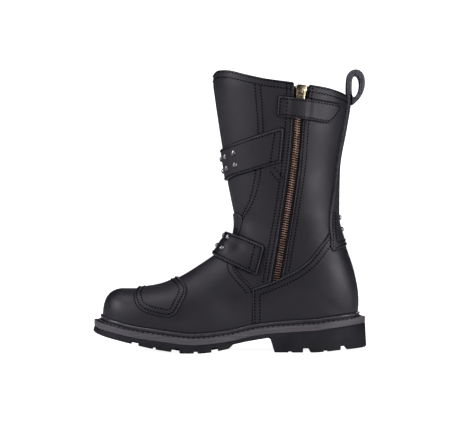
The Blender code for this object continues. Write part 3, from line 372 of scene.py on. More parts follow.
def spread(points, count):
    """The same line with count + 1 points, evenly far apart."""
    far = distances(points)
    if far[-1] < 1e-9:
        return np.repeat(points[:1], count + 1, axis=0)
    wanted = np.linspace(0.0, far[-1], count + 1)
    return np.stack([np.interp(wanted, far, column) for column in points.T], axis=1)


def form_grid():
    """Section numbers and points of the form: inner foot end, over the top, outer foot end."""
    numbers = np.arange(len(SECTIONS), dtype=float)
    table = np.array(SECTIONS, float)
    trial = np.linspace(0.0, len(SECTIONS) - 1.0, 1600)
    rows = np.stack([smooth(numbers, table[:, k], trial) for k in range(table.shape[1])], axis=1)
    top = np.stack([along(rows[:, 0]), height_of(rows[:, 0], rows[:, 1])], axis=1)
    foot = np.stack([along(rows[:, 2]), height_of(rows[:, 2], rows[:, 3])], axis=1)
    wide = np.stack([rows[:, 4] * BALL, rows[:, 7] * BALL], axis=1)
    travel = np.max([np.linalg.norm(np.diff(v, axis=0), axis=1) for v in (top, foot, wide)], axis=0)
    far = np.concatenate([[0.0], np.cumsum(travel)])
    even = np.interp(np.arange(0.0, far[-1], ROW_STEP), far, trial)
    chosen = np.unique(np.concatenate([even, [float(CLOSED_FROM), numbers[-1]]]))
    grid = []
    for t in chosen:
        row = [float(smooth(numbers, table[:, k], [t])[0]) for k in range(table.shape[1])]
        if t >= CLOSED_FROM:
            row[7] = 0.0
        inner = spread(section_side(row, -1), SIDE_POINTS)
        outer = spread(section_side(row, 1), SIDE_POINTS)[::-1]
        grid.append(np.concatenate([inner, outer[1:]]))
    return chosen, np.array(grid)


def folded(grid):
    """The form with its soft folds, moved along the outward way."""
    points = grid.reshape(-1, 3)
    across = np.gradient(grid, axis=0)
    down = np.gradient(grid, axis=1)
    way = np.cross(across, down).reshape(-1, 3)
    size = np.linalg.norm(way, axis=1, keepdims=True)
    way = way / np.where(size > 1e-12, size, 1.0)
    centre = np.stack([points[:, 0], np.zeros(len(points)), points[:, 2]], axis=1)
    flip = np.sum(way * (points - centre), axis=1) < 0
    way[flip & (np.abs(points[:, 1]) > 0.01)] *= -1
    lift = np.zeros(len(points))
    for x, z, degrees, long, wide, depth, sides in FOLDS:
        turn = math.radians(degrees)
        off = points[:, [0, 2]] - np.array([along(x), HEIGHT * z])
        ahead = off @ np.array([math.cos(turn), math.sin(turn)])
        beside = off @ np.array([-math.sin(turn), math.cos(turn)])
        on_side = np.zeros(len(points))
        for side in sides:
            on_side = np.maximum(on_side, ease((points[:, 1] * side - 0.008) / 0.012))
        lift += depth * np.exp(-((ahead / long) ** 2) - (beside / wide) ** 2) * on_side
    return (points + way * lift[:, None]).reshape(grid.shape)


def rim_edges(faces):
    """Edges that only one triangle has, each the way its triangle runs."""
    edges = np.concatenate([faces[:, [0, 1]], faces[:, [1, 2]], faces[:, [2, 0]]])
    keys = np.sort(edges, axis=1)
    _, first, count = np.unique(keys, axis=0, return_index=True, return_counts=True)
    return edges[first[count == 1]]


def calmed(chosen, grid):
    """The form with the faint ridge taken out where its sections begin to meet at the back."""
    near = ease(1.0 - np.abs(chosen - CLOSED_FROM) / 3.0)[1:-1, None, None]
    for _ in range(36):
        middle = (grid[:-2] + grid[2:]) / 2
        grid = grid.copy()
        grid[1:-1] += 0.5 * near * (middle - grid[1:-1])
    return grid


def make_form():
    """Table of the form's points (place, way out, distance from the collar) and its triangles."""
    chosen, grid = form_grid()
    grid = folded(calmed(chosen, grid))
    rows, columns = grid.shape[:2]
    steps = np.linalg.norm(np.diff(grid, axis=0), axis=2)
    from_collar = np.concatenate([np.cumsum(steps[::-1], axis=0)[::-1], np.zeros((1, columns))])
    number = np.arange(rows * columns).reshape(rows, columns)
    number[0, :] = number[0, 0]
    closed = chosen >= CLOSED_FROM
    number[closed, -1] = number[closed, 0]
    used, number = np.unique(number, return_inverse=True)
    number = number.reshape(rows, columns)
    points = grid.reshape(-1, 3)[used]
    collar = from_collar.reshape(-1)[used]
    a, b, c, d = number[:-1, :-1], number[:-1, 1:], number[1:, 1:], number[1:, :-1]
    half = (columns - 1) // 2
    faces = np.concatenate([
        np.stack([a[:, :half], b[:, :half], c[:, :half]], -1).reshape(-1, 3),
        np.stack([a[:, :half], c[:, :half], d[:, :half]], -1).reshape(-1, 3),
        np.stack([a[:, half:], b[:, half:], d[:, half:]], -1).reshape(-1, 3),
        np.stack([b[:, half:], c[:, half:], d[:, half:]], -1).reshape(-1, 3),
    ])
    faces = faces[np.all(faces != np.roll(faces, 1, axis=1), axis=1)]
    corners = points[faces]
    normal = np.cross(corners[:, 1] - corners[:, 0], corners[:, 2] - corners[:, 0])
    total = np.zeros_like(points)
    for k in range(3):
        np.add.at(total, faces[:, k], normal)
    if np.sum(total * (points - points.mean(axis=0))) < 0:
        total = -total
        faces = faces[:, ::-1]
    rim = np.unique(rim_edges(faces))
    rim = rim[points[rim, 2] < HEIGHT / 2]
    total[rim, 2] = 0.0
    out = total / np.linalg.norm(total, axis=1, keepdims=True)
    return np.concatenate([points, out, collar[:, None]], axis=1), faces


def tree_of(points, faces):
    return BVHTree.FromPolygons([Vector(p) for p in points], [tuple(map(int, f)) for f in faces])


def on_side(x, z, side):
    """Where the form's side is at a side-view point, and its way out."""
    start = Vector((along(x), side * BALL, HEIGHT * z))
    place, _, face, _ = FORM_TREE.ray_cast(start, Vector((0, -side, 0)))
    return smooth_place(place, face)


def on_shaft(degrees, z):
    """Where the shaft's surface is, this far round from the front to the outer side."""
    turn = math.radians(degrees)
    away = Vector((-math.cos(turn), math.sin(turn), 0))
    axis = Vector((along(SHAFT_AXIS), 0.0, HEIGHT * z))
    place, _, face, _ = FORM_TREE.ray_cast(axis + away * LENGTH, -away)
    return smooth_place(place, face)


def smooth_place(place, face):
    """The place with the way out averaged over its triangle's corners."""
    corners = FORM[FORM_FACES[face]]
    weight = 1.0 / (np.linalg.norm(corners[:, :3] - np.array(place), axis=1) + 1e-5)
    out = (corners[:, 3:6] * weight[:, None]).sum(axis=0)
    return place, Vector(out).normalized()


# Cutting panels from the form.

def rounded(outline):
    """The outline in metres with its gentle corners cut round and its sharp ones nearly kept."""
    points = [np.array([along(x), HEIGHT * z]) for x, z in outline]
    for _ in range(CORNER_ROUNDS):
        fresh = []
        count = len(points)
        for i in range(count):
            before, here, after = points[i - 1], points[i], points[(i + 1) % count]
            a, b = here - before, after - here
            straight = a @ b / (np.linalg.norm(a) * np.linalg.norm(b) + 1e-12)
            bend = math.degrees(math.acos(np.clip(straight, -1, 1)))
            if bend < STRAIGHT_BEND:
                fresh.append(here)
                continue
            long_a, long_b = np.linalg.norm(a) + 1e-9, np.linalg.norm(b) + 1e-9
            cut = 0.27 * min(long_a, long_b)
            if bend >= SHARP_BEND:
                cut = min(cut, SHARP_CUT)
            fresh += [here - a * cut / long_a, here + b * cut / long_b]
        points = fresh
    return np.array(points)


def outline_distance(table, outline, sides=BOTH):
    """Distance over the surface to a side-view outline, negative inside it."""
    flat, out = table[:, [0, 2]], table[:, 3:6]
    best = np.full(len(flat), np.inf)
    way = np.zeros_like(flat)
    inside = np.zeros(len(flat), bool)
    for p, q in zip(outline, np.roll(outline, -1, axis=0)):
        edge = q - p
        t = np.clip((flat - p) @ edge / (edge @ edge + 1e-15), 0.0, 1.0)
        away = flat - (p + t[:, None] * edge)
        far = np.linalg.norm(away, axis=1)
        nearer = far < best
        best = np.where(nearer, far, best)
        way[nearer] = away[nearer] / (far[nearer, None] + 1e-12)
        rise = q[1] - p[1]
        crosses = (p[1] > flat[:, 1]) != (q[1] > flat[:, 1])
        at = (q[0] - p[0]) * (flat[:, 1] - p[1]) / (rise if abs(rise) > 1e-12 else 1e-12) + p[0]
        inside ^= crosses & (flat[:, 0] < at)
    spatial = np.stack([way[:, 0], np.zeros(len(flat)), way[:, 1]], axis=1)
    spatial -= out * np.sum(spatial * out, axis=1, keepdims=True)
    slope = np.clip(np.linalg.norm(spatial, axis=1), 0.25, 1.0)
    signed = np.where(inside, -best, best) / slope
    if len(sides) == 1:
        signed = np.where(table[:, 1] * sides[0] > 0, signed, FAR_OFF)
    return signed


def split_at(table, faces, column, level):
    """Splits triangles where a column crosses a level. Also returns the edges that lie on it."""
    value = table[:, column] - level
    value = np.where(np.abs(value) < 1e-8, 1e-8, value)
    above = value > 0
    count = above[faces].sum(axis=1)
    mixed = (count == 1) | (count == 2)
    tri = faces[mixed]
    m = len(tri)
    if m == 0:
        return table, faces, np.zeros((0, 2), int)
    which = np.argmax(above[tri] == (count[mixed] == 1)[:, None], axis=1)
    row = np.arange(m)
    a, b, c = tri[row, which], tri[row, (which + 1) % 3], tri[row, (which + 2) % 3]
    keys = np.sort(np.stack([np.concatenate([a, a]), np.concatenate([b, c])], axis=1), axis=1)
    pairs, back = np.unique(keys, axis=0, return_inverse=True)
    back = back.reshape(-1)
    u, v = pairs[:, 0], pairs[:, 1]
    share = value[u] / (value[u] - value[v])
    fresh = table[u] + (table[v] - table[u]) * share[:, None]
    fresh[:, column] = level
    p, q = back[:m] + len(table), back[m:] + len(table)
    made = [faces[~mixed], np.stack([a, p, q], 1), np.stack([p, b, c], 1), np.stack([p, c, q], 1)]
    return np.concatenate([table, fresh]), np.concatenate(made), np.stack([p, q], axis=1)


def trimmed(table, faces, column, rings=(-EDGE_ROUND, -0.35 * EDGE_ROUND)):
    """The part of the surface where a distance column is negative, with rings near its edge."""
    for level in rings:
        table, faces, _ = split_at(table, faces, column, level)
    table, faces, _ = split_at(table, faces, column, 0.0)
    faces = faces[table[faces, column].mean(axis=1) < -1e-7]
    used, flat = np.unique(faces, return_inverse=True)
    return table[used], flat.reshape(-1, 3)


def chained(edges):
    """Edges joined end to end into lists of points."""
    beside = {}
    for a, b in edges:
        beside.setdefault(int(a), []).append(int(b))
        beside.setdefault(int(b), []).append(int(a))
    left = {tuple(sorted((int(a), int(b)))) for a, b in edges}
    lines = []
    starts = [k for k, near in beside.items() if len(near) == 1] + list(beside)
    for start in starts:
        here, line = start, [start]
        while True:
            onward = [n for n in beside[here] if tuple(sorted((here, n))) in left]
            if not onward:
                break
            left.discard(tuple(sorted((here, onward[0]))))
            here = onward[0]
            line.append(here)
        if len(line) > 2:
            lines.append(line)
    return lines


def turns(count):
    """Even angles once round."""
    return [2 * math.pi * k / count for k in range(count)]


def band(rings, sides, closed=False):
    """Faces between rings of points, one ring after the other. closed joins the last to the first."""
    faces = []
    for i in range(rings if closed else rings - 1):
        here, onward = i * sides, (i + 1) % rings * sides
        for k in range(sides):
            after = (k + 1) % sides
            faces.append((here + k, here + after, onward + after, onward + k))
    return faces


def caps(rings, sides):
    """The end faces of a band."""
    return [tuple(range(sides))[::-1], tuple(range((rings - 1) * sides, rings * sides))]


def link(obj):
    """The object, put into the scene."""
    bpy.context.scene.collection.objects.link(obj)
    return obj


def add_mesh(name, points, faces, attributes=None):
    data = bpy.data.meshes.new(name)
    points = np.asarray(points, float)
    if isinstance(faces, np.ndarray) and len(faces):
        data.vertices.add(len(points))
        data.vertices.foreach_set("co", points.astype(np.float32).ravel())
        data.loops.add(faces.size)
        data.loops.foreach_set("vertex_index", faces.astype(np.int32).ravel())
        data.polygons.add(len(faces))
        data.polygons.foreach_set("loop_start", np.arange(0, faces.size, faces.shape[1], dtype=np.int32))
        data.update(calc_edges=True)
        data.validate()
    else:
        data.from_pydata([tuple(map(float, p)) for p in points], [], [tuple(map(int, f)) for f in faces])
    for key, values in (attributes or {}).items():
        layer = data.attributes.new(key, "FLOAT", "POINT")
        layer.data.foreach_set("value", np.asarray(values, np.float32))
    return link(bpy.data.objects.new(name, data))


def soften(obj, degrees):
    """Smooth shading with edges that are sharper than this kept."""
    obj.data.shade_smooth()
    obj.data.set_sharp_from_angle(angle=math.radians(degrees))
    return obj


def settled(obj):
    """The piece with its modifiers made real."""
    graph = bpy.context.evaluated_depsgraph_get()
    made = bpy.data.meshes.new_from_object(obj.evaluated_get(graph))
    obj.modifiers.clear()
    obj.data = made
    return obj


def face_out(obj):
    shape = bmesh.new()
    shape.from_mesh(obj.data)
    bmesh.ops.recalc_face_normals(shape, faces=shape.faces)
    if shape.calc_volume(signed=True) < 0:
        bmesh.ops.reverse_faces(shape, faces=shape.faces)
    shape.to_mesh(obj.data)
    shape.free()
    return obj


def carried(obj, node=None, body="boot"):
    """Ties a piece to its body and hides the CAD piece that it replaces."""
    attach(obj, body)
    if node:
        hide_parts(node)


def panel(name, table, faces, column, low, high, skin, inside=None, extra=None):
    """A closed piece of leather with rounded cut edges. low and high are distances out."""
    points, out, edge = table[:, :3], table[:, 3:6], -table[:, column]
    near = np.clip(edge / EDGE_ROUND, 0.0, 1.0)
    round_off = np.minimum(EDGE_ROUND, 0.75 * (high - low))
    top = high - round_off * (1 - np.sqrt(np.clip(1 - (1 - near) ** 2, 0.0, 1.0)))
    count = len(points)
    rim = rim_edges(faces)
    a, b = rim[:, 0], rim[:, 1]
    every = [
        faces, faces[:, ::-1] + count,
        np.stack([b, a, a + count], 1), np.stack([b, a + count, b + count], 1),
    ]
    layers = [points + out * np.reshape(level, (-1, 1)) for level in (top, low)]
    values = {key: np.tile(field, 2) for key, field in {"edge": edge, **(extra or {})}.items()}
    obj = add_mesh(name, np.concatenate(layers), np.concatenate(every), values)
    obj.data.materials.append(skin)
    if inside:
        obj.data.materials.append(inside)
        slots = np.zeros(len(obj.data.polygons), np.int32)
        slots[len(faces):2 * len(faces)] = 1
        obj.data.polygons.foreach_set("material_index", slots)
    return soften(obj, 50.0)


# Rows that follow a path.

def path_tree():
    """Pieces set at even steps along paths, their length along the path and their back to the leather."""
    tree = bpy.data.node_groups.new("pieces_along_a_path", "GeometryNodeTree")
    tree.is_modifier = True
    for name, kind in (
        ("Paths", "Geometry"), ("Piece", "Object"), ("Finish", "Material"),
        ("Pitch", "Float"), ("Wander", "Float"), ("Seed", "Int"),
    ):
        tree.interface.new_socket(name, in_out="INPUT", socket_type="NodeSocket" + kind)
    tree.interface.new_socket("Pieces", in_out="OUTPUT", socket_type="NodeSocketGeometry")
    node = {}
    for name, kind in (
        ("given", "NodeGroupInput"), ("curve", "GeometryNodeMeshToCurve"),
        ("even", "GeometryNodeResampleCurve"), ("tangent", "GeometryNodeInputTangent"),
        ("out", "GeometryNodeInputNamedAttribute"), ("turn", "FunctionNodeAxesToRotation"),
        ("drawn", "GeometryNodeObjectInfo"), ("wander", "FunctionNodeRandomValue"),
        ("scale", "ShaderNodeMath"), ("tilt", "FunctionNodeRotateRotation"),
        ("euler", "ShaderNodeCombineXYZ"), ("place", "GeometryNodeInstanceOnPoints"),
        ("real", "GeometryNodeRealizeInstances"), ("finish", "GeometryNodeSetMaterial"),
        ("made", "NodeGroupOutput"),
    ):
        node[name] = tree.nodes.new(kind)
    node["even"].mode = "LENGTH"
    node["out"].data_type = "FLOAT_VECTOR"
    node["out"].inputs["Name"].default_value = "out"
    node["turn"].primary_axis = "X"
    node["turn"].secondary_axis = "Z"
    node["wander"].data_type = "FLOAT"
    node["wander"].inputs[2].default_value = -1.0
    node["wander"].inputs[3].default_value = 1.0
    node["scale"].operation = "MULTIPLY"
    node["tilt"].rotation_space = "LOCAL"
    for start, output, end, socket in (
        ("given", "Paths", "curve", "Mesh"), ("curve", "Curve", "even", "Curve"),
        ("given", "Pitch", "even", "Length"), ("tangent", "Tangent", "turn", "Primary Axis"),
        ("out", 0, "turn", "Secondary Axis"), ("given", "Piece", "drawn", "Object"),
        ("given", "Seed", "wander", "Seed"), ("wander", 1, "scale", 0),
        ("given", "Wander", "scale", 1), ("scale", 0, "euler", "Z"),
        ("turn", "Rotation", "tilt", "Rotation"), ("euler", 0, "tilt", "Rotate By"),
        ("even", "Curve", "place", "Points"), ("drawn", "Geometry", "place", "Instance"),
        ("tilt", "Rotation", "place", "Rotation"), ("place", "Instances", "real", "Geometry"),
        ("real", "Geometry", "finish", "Geometry"), ("given", "Finish", "finish", "Material"),
        ("finish", "Geometry", "made", "Pieces"),
    ):
        tree.links.new(node[start].outputs[output], node[end].inputs[socket])
    return tree


def rows_of(name, lines, piece, finish, pitch, wander=0.05, seed=3):
    """One mesh with the piece repeated along lines, each an array of places and ways out."""
    table = np.concatenate(lines)
    data = bpy.data.meshes.new(name + "_path")
    edges, start = [], 0
    for line in lines:
        edges += [(start + i, start + i + 1) for i in range(len(line) - 1)]
        start += len(line)
    data.from_pydata([tuple(map(float, p)) for p in table[:, :3]], edges, [])
    layer = data.attributes.new("out", "FLOAT_VECTOR", "POINT")
    layer.data.foreach_set("vector", table[:, 3:6].astype(np.float32).ravel())
    path = link(bpy.data.objects.new(name + "_path", data))
    step = path.modifiers.new("rows", "NODES")
    step.node_group = PATH_TREE
    given = {"Piece": piece, "Finish": finish, "Pitch": pitch, "Wander": wander, "Seed": seed}
    for socket in PATH_TREE.interface.items_tree:
        if socket.name in given and socket.in_out == "INPUT":
            step[socket.identifier] = given[socket.name]
    made = settled(path).data
    bpy.data.objects.remove(path, do_unlink=True)
    obj = link(bpy.data.objects.new(name, made))
    obj.data.shade_smooth()
    return obj


def stitch_piece(name, long, wide):
    """One stitch: a twisted thread that dives into the leather at both ends."""
    rings = (
        (-0.52, -0.55, 0.35), (-0.40, 0.10, 0.85), (0.0, 0.42, 1.0), (0.40, 0.10, 0.85), (0.52, -0.55, 0.35),
    )
    sides = 6
    points = []
    for x, z, r in rings:
        for turn in turns(sides):
            across, up = r * math.cos(turn + x), r * math.sin(turn + x)
            points.append((x * long, 0.5 * wide * across, wide * (0.5 * z + 0.42 * up)))
    return face_out(add_mesh(name, points, band(len(rings), sides) + caps(len(rings), sides)))


def lifted(table, faces, column, level, lift, keep=None):
    """Lines on the surface where a distance column has a level, at a height over the form."""
    split, _, edges = split_at(table, faces, column, level)
    lines = []
    for chain in chained(edges):
        row = split[chain]
        parts = [row] if keep is None else kept_parts(row, keep(row))
        for part in parts:
            height = lift(part) if callable(lift) else lift
            place = part[:, :3] + part[:, 3:6] * np.reshape(height, (-1, 1))
            lines.append(np.concatenate([place, part[:, 3:6]], axis=1))
    return lines


def kept_parts(row, mask):
    """The stretches of a line where the mask holds."""
    parts, run = [], []
    for point, good in zip([*row, None], [*mask, False]):
        if good:
            run.append(point)
            continue
        if len(run) > 3:
            parts.append(np.array(run))
        run = []
    return parts


def smooth_line(points, count):
    """A smooth curve through points of the side view, at even steps."""
    far = distances(points)
    wanted = np.linspace(0.0, far[-1], count)
    return np.stack([smooth(far, points[:, 0], wanted), smooth(far, points[:, 1], wanted)], axis=1)


def drawn_line(shares, side, lift, smoothing=24):
    """A line through side-view shares, laid on the form's side at a height over it."""
    line = []
    for x, z in smooth_line(np.array(shares), smoothing * (len(shares) - 1) + 1):
        place, out = on_side(float(x), float(z), side)
        height = lift(np.array([[*place]]))[0] if callable(lift) else lift
        line.append([*(place + out * float(height)), *out])
    return np.array(line)


# Finishes.

def shader_group(name, inputs, outputs):
    """A node group with named sockets. Returns it with its input and output nodes."""
    tree = bpy.data.node_groups.new(name, "ShaderNodeTree")
    for label, kind, value in inputs:
        socket = tree.interface.new_socket(label, in_out="INPUT", socket_type="NodeSocket" + kind)
        if value is not None:
            socket.default_value = value
    for label, kind in outputs:
        tree.interface.new_socket(label, in_out="OUTPUT", socket_type="NodeSocket" + kind)
    return tree, tree.nodes.new("NodeGroupInput"), tree.nodes.new("NodeGroupOutput")


def feed(tree, socket, given):
    """Joins a node's output to a socket, or sets the socket's own value."""
    if isinstance(given, bpy.types.NodeSocket):
        tree.links.new(given, socket)
    elif given is not None:
        socket.default_value = given


def node_of(tree, kind, given):
    """A new node with these inputs joined or set."""
    node = tree.nodes.new(kind)
    for label, value in given.items():
        feed(tree, node.inputs[label], value)
    return node


def math_node(tree, operation, a, b=0.0, c=None):
    node = tree.nodes.new("ShaderNodeMath")
    node.operation = operation
    for socket, value in zip(node.inputs, (a, b, c)):
        feed(tree, socket, value)
    return node.outputs[0]


def plus(tree, a, b):
    return math_node(tree, "ADD", a, b)


def times(tree, a, b):
    return math_node(tree, "MULTIPLY", a, b)


def apart(tree, a, b):
    """How far two values are from each other."""
    return math_node(tree, "ABSOLUTE", math_node(tree, "SUBTRACT", a, b))


def ranged(tree, value, low, high, to_low, to_high):
    """A value brought from one range to another with eased ends."""
    given = {"Value": value, "From Min": low, "From Max": high, "To Min": to_low, "To Max": to_high}
    node = node_of(tree, "ShaderNodeMapRange", given)
    node.interpolation_type = "SMOOTHSTEP"
    return node.outputs["Result"]


def noise(tree, vector, scale, detail=2.0, roughness=0.5):
    given = {"Vector": vector, "Scale": scale, "Detail": detail, "Roughness": roughness}
    return node_of(tree, "ShaderNodeTexNoise", given).outputs["Fac"]


def object_place(tree, scale=(1.0, 1.0, 1.0), turn=(0.0, 0.0, 0.0)):
    place = tree.nodes.new("ShaderNodeTexCoord")
    given = {"Vector": place.outputs["Object"], "Scale": scale, "Rotation": turn}
    return node_of(tree, "ShaderNodeMapping", given).outputs["Vector"]


def mixed(tree, share, a, b):
    """A colour between a and b, each a socket or three numbers."""
    node = tree.nodes.new("ShaderNodeMix")
    node.data_type = "RGBA"
    colours = {socket.name: socket for socket in node.inputs if socket.type == "RGBA"}
    feed(tree, next(s for s in node.inputs if s.name == "Factor" and s.type == "VALUE"), share)
    for label, given in (("A", a), ("B", b)):
        feed(tree, colours[label], (*given, 1.0) if isinstance(given, tuple) else given)
    return next(s for s in node.outputs if s.type == "RGBA")


def paint(tree, shader, share, a, b):
    """Sets a finish's colour between a and b."""
    tree.links.new(mixed(tree, share, a, b), shader.inputs["Base Color"])


def make_grain_group():
    """Leather grain: low cushions between fine creases, pores, and slow changes of tone."""
    tree, given, made = shader_group(
        "leather_grain",
        (("Cells", "Float", 900.0), ("Crease", "Float", 0.5), ("Pores", "Float", 0.3)),
        (("Height", "Float"), ("Tone", "Float"), ("Cloud", "Float")),
    )
    place = object_place(tree)
    wander = node_of(tree, "ShaderNodeTexNoise", {"Vector": place, "Scale": 420.0})
    stray = tree.nodes.new("ShaderNodeVectorMath")
    stray.operation = "MULTIPLY_ADD"
    for socket, value in zip(stray.inputs, (wander.outputs["Color"], (0.0011, 0.0011, 0.0011), place)):
        feed(tree, socket, value)
    strayed = {"Vector": stray.outputs[0], "Scale": given.outputs["Cells"]}
    cells = node_of(tree, "ShaderNodeTexVoronoi", strayed)
    cells.feature = "DISTANCE_TO_EDGE"
    cushion = ranged(tree, cells.outputs["Distance"], 0.0, 0.32, 0.0, 1.0)
    creases = times(tree, cushion, given.outputs["Crease"])
    pores = times(tree, noise(tree, place, 2600.0, 3.0, 0.6), given.outputs["Pores"])
    slow = times(tree, noise(tree, place, 60.0, 3.0), 1.2)
    fine = times(tree, noise(tree, place, 900.0, 3.0, 0.6), 0.55)
    cloud = noise(tree, place, 16.0, 4.0, 0.55)
    tree.links.new(plus(tree, plus(tree, creases, pores), slow), made.inputs["Height"])
    tree.links.new(plus(tree, fine, times(tree, cushion, 0.45)), made.inputs["Tone"])
    tree.links.new(ranged(tree, cloud, 0.32, 0.68, 0.0, 1.0), made.inputs["Cloud"])
    return tree


def make_edge_group():
    """Paler cut edges, partly worn leather and partly a painted highlight along the edges, and the sewn
    channels beside them.
    """
    tree, given, made = shader_group(
        "cut_edge",
        (("Edge", "Float", 0.01), ("Wear width", "Float", 0.0006), ("First row", "Float", 0.0022),
         ("Second row", "Float", 0.0070), ("Channel", "Float", CHANNEL)),
        (("Wear_and_highlight", "Float"), ("Channels", "Float")),
    )
    edge = given.outputs["Edge"]
    rough = ranged(tree, noise(tree, object_place(tree), 320.0, 3.0, 0.6), 0.30, 0.62, 0.25, 1.0)
    near = ranged(tree, edge, 0.0, given.outputs["Wear width"], 1.0, 0.0)
    tree.links.new(times(tree, near, rough), made.inputs["Wear_and_highlight"])
    rows = []
    for row in ("First row", "Second row"):
        far = apart(tree, edge, given.outputs[row])
        rows.append(ranged(tree, far, 0.0, given.outputs["Channel"], 1.0, 0.0))
    tree.links.new(math_node(tree, "MAXIMUM", rows[0], rows[1]), made.inputs["Channels"])
    return tree


def make_dust_group():
    """Fine dust that settles in spots on faces that look up."""
    tree, given, made = shader_group("dust", (("Amount", "Float", 0.3),), (("Dust", "Float"),))
    geometry = tree.nodes.new("ShaderNodeNewGeometry")
    split = node_of(tree, "ShaderNodeSeparateXYZ", {0: geometry.outputs["Normal"]})
    up = ranged(tree, split.outputs["Z"], 0.2, 1.0, 0.25, 1.0)
    spots = ranged(tree, noise(tree, object_place(tree), 240.0, 5.0, 0.65), 0.45, 0.75, 0.0, 1.0)
    tree.links.new(times(tree, times(tree, up, spots), given.outputs["Amount"]), made.inputs["Dust"])
    return tree


def new_material(name, roughness, metallic=0.0, specular=0.5):
    made = bpy.data.materials.new(name)
    made.use_nodes = True
    shader = made.node_tree.nodes["Principled BSDF"]
    given = {"Roughness": roughness, "Metallic": metallic, "Specular IOR Level": specular}
    for label, value in given.items():
        shader.inputs[label].default_value = value
    return made, made.node_tree, shader


def placed(tree, group, values):
    node = tree.nodes.new("ShaderNodeGroup")
    node.node_tree = group
    for label, value in values.items():
        feed(tree, node.inputs[label], value)
    return node.outputs


def bump(tree, shader, height, distance):
    node = node_of(tree, "ShaderNodeBump", {"Distance": distance, "Strength": 1.0, "Height": height})
    tree.links.new(node.outputs["Normal"], shader.inputs["Normal"])


def attribute(tree, name):
    node = tree.nodes.new("ShaderNodeAttribute")
    node.attribute_name = name
    return node.outputs["Fac"]


def leather(name, rows, seams=(), gloss=0.34, dark=LEATHER_DARK, pale=LEATHER_PALE):
    """Oiled charcoal leather. rows are its stitched channels in from the cut edge."""
    made, tree, shader = new_material(name, 0.5, specular=gloss)
    grain = placed(tree, GRAIN, {"Cells": 950.0, "Crease": 0.42, "Pores": 0.40})
    first, second = (*rows, NO_ROW)[:2]
    given = {"Edge": attribute(tree, "edge"), "First row": first, "Second row": second}
    edge = placed(tree, CUT_EDGE, given)
    channels = edge["Channels"]
    for seam, half in seams:
        off = apart(tree, math_node(tree, "ABSOLUTE", attribute(tree, seam)), half)
        channels = math_node(tree, "MAXIMUM", channels, ranged(tree, off, 0.0, CHANNEL, 1.0, 0.0))
    tone = plus(tree, times(tree, grain["Tone"], 0.45), times(tree, grain["Cloud"], 0.5))
    color = mixed(tree, tone, dark, pale)
    # Painted shade: the sewn channels, already sunk by the bump, are darkened a little.
    color = mixed(tree, times(tree, channels, 0.02), color, (0.006, 0.006, 0.007))
    # Paler cut edges: partly wear, partly a painted highlight along the edges.
    color = mixed(tree, times(tree, edge["Wear_and_highlight"], 0.62), color, (0.090, 0.088, 0.100))
    # Painted shadow: near-black, rougher leather beside the edges of the pieces that lie on this one and
    # above the welt's rib.
    beside = ranged(tree, attribute(tree, "beside"), 0.76, 0.97, 0.0, 1.0)
    paint(tree, shader, beside, color, (0.0006, 0.0006, 0.0007))
    rough = plus(tree, 0.46, times(tree, grain["Cloud"], 0.14))
    rough = plus(tree, rough, times(tree, beside, 0.45))
    tree.links.new(plus(tree, rough, times(tree, grain["Tone"], -0.06)), shader.inputs["Roughness"])
    sunk = math_node(tree, "SUBTRACT", grain["Height"], times(tree, channels, 0.25))
    bump(tree, shader, sunk, 0.00007)
    return made


def make_leathers():
    """The leathers by what they cover."""
    seams = (("front_seam", 0.0029), ("zip_front", 0.0023), ("zip_rear", 0.0021))
    # Painted shade: the lower strap gets a darker, less glossy copy of the strap leather, against the light
    # its upward face catches.
    shaded_strap_dark, shaded_strap_pale = (0.0040, 0.0037, 0.0048), (0.0098, 0.0091, 0.0117)
    return {
        "upper": leather("shaft_leather", ROWS["upper"], seams),
        "vamp": leather("vamp_leather", ROWS["vamp"]),
        "counter": leather("counter_leather", ROWS["counter"]),
        "back_stay": leather("stay_leather", ROWS["back_stay"]),
        "shift_pad": leather("pad_leather", ROWS["shift_pad"]),
        "strap": leather("strap_leather", ROWS["strap"], pale=(0.0110, 0.0102, 0.0131)),
        "strap_low": leather("lower_strap_leather", ROWS["strap"], (), 0.25, shaded_strap_dark, shaded_strap_pale),
        "loop": leather("loop_leather", (0.0020,)),
    }


def make_threads():
    """The black sewing thread and the grey waxed thread on the welt."""
    thread, tree, shader = new_material("black_thread", 0.85, specular=0.05)
    given = {"Vector": object_place(tree), "Scale": 900.0, "Distortion": 2.0}
    twist = node_of(tree, "ShaderNodeTexWave", given).outputs["Fac"]
    paint(tree, shader, twist, (0.0004, 0.0004, 0.0005), (0.0016, 0.0016, 0.0018))
    bump(tree, shader, twist, 0.00006)
    welt_thread, tree, shader = new_material("waxed_welt_thread", 0.5, specular=0.45)
    fibres = noise(tree, object_place(tree), 700.0, 3.0)
    paint(tree, shader, fibres, (0.022, 0.021, 0.024), (0.090, 0.086, 0.096))
    bump(tree, shader, noise(tree, object_place(tree), 2400.0, 2.0), 0.00008)
    return {"thread": thread, "welt_thread": welt_thread}


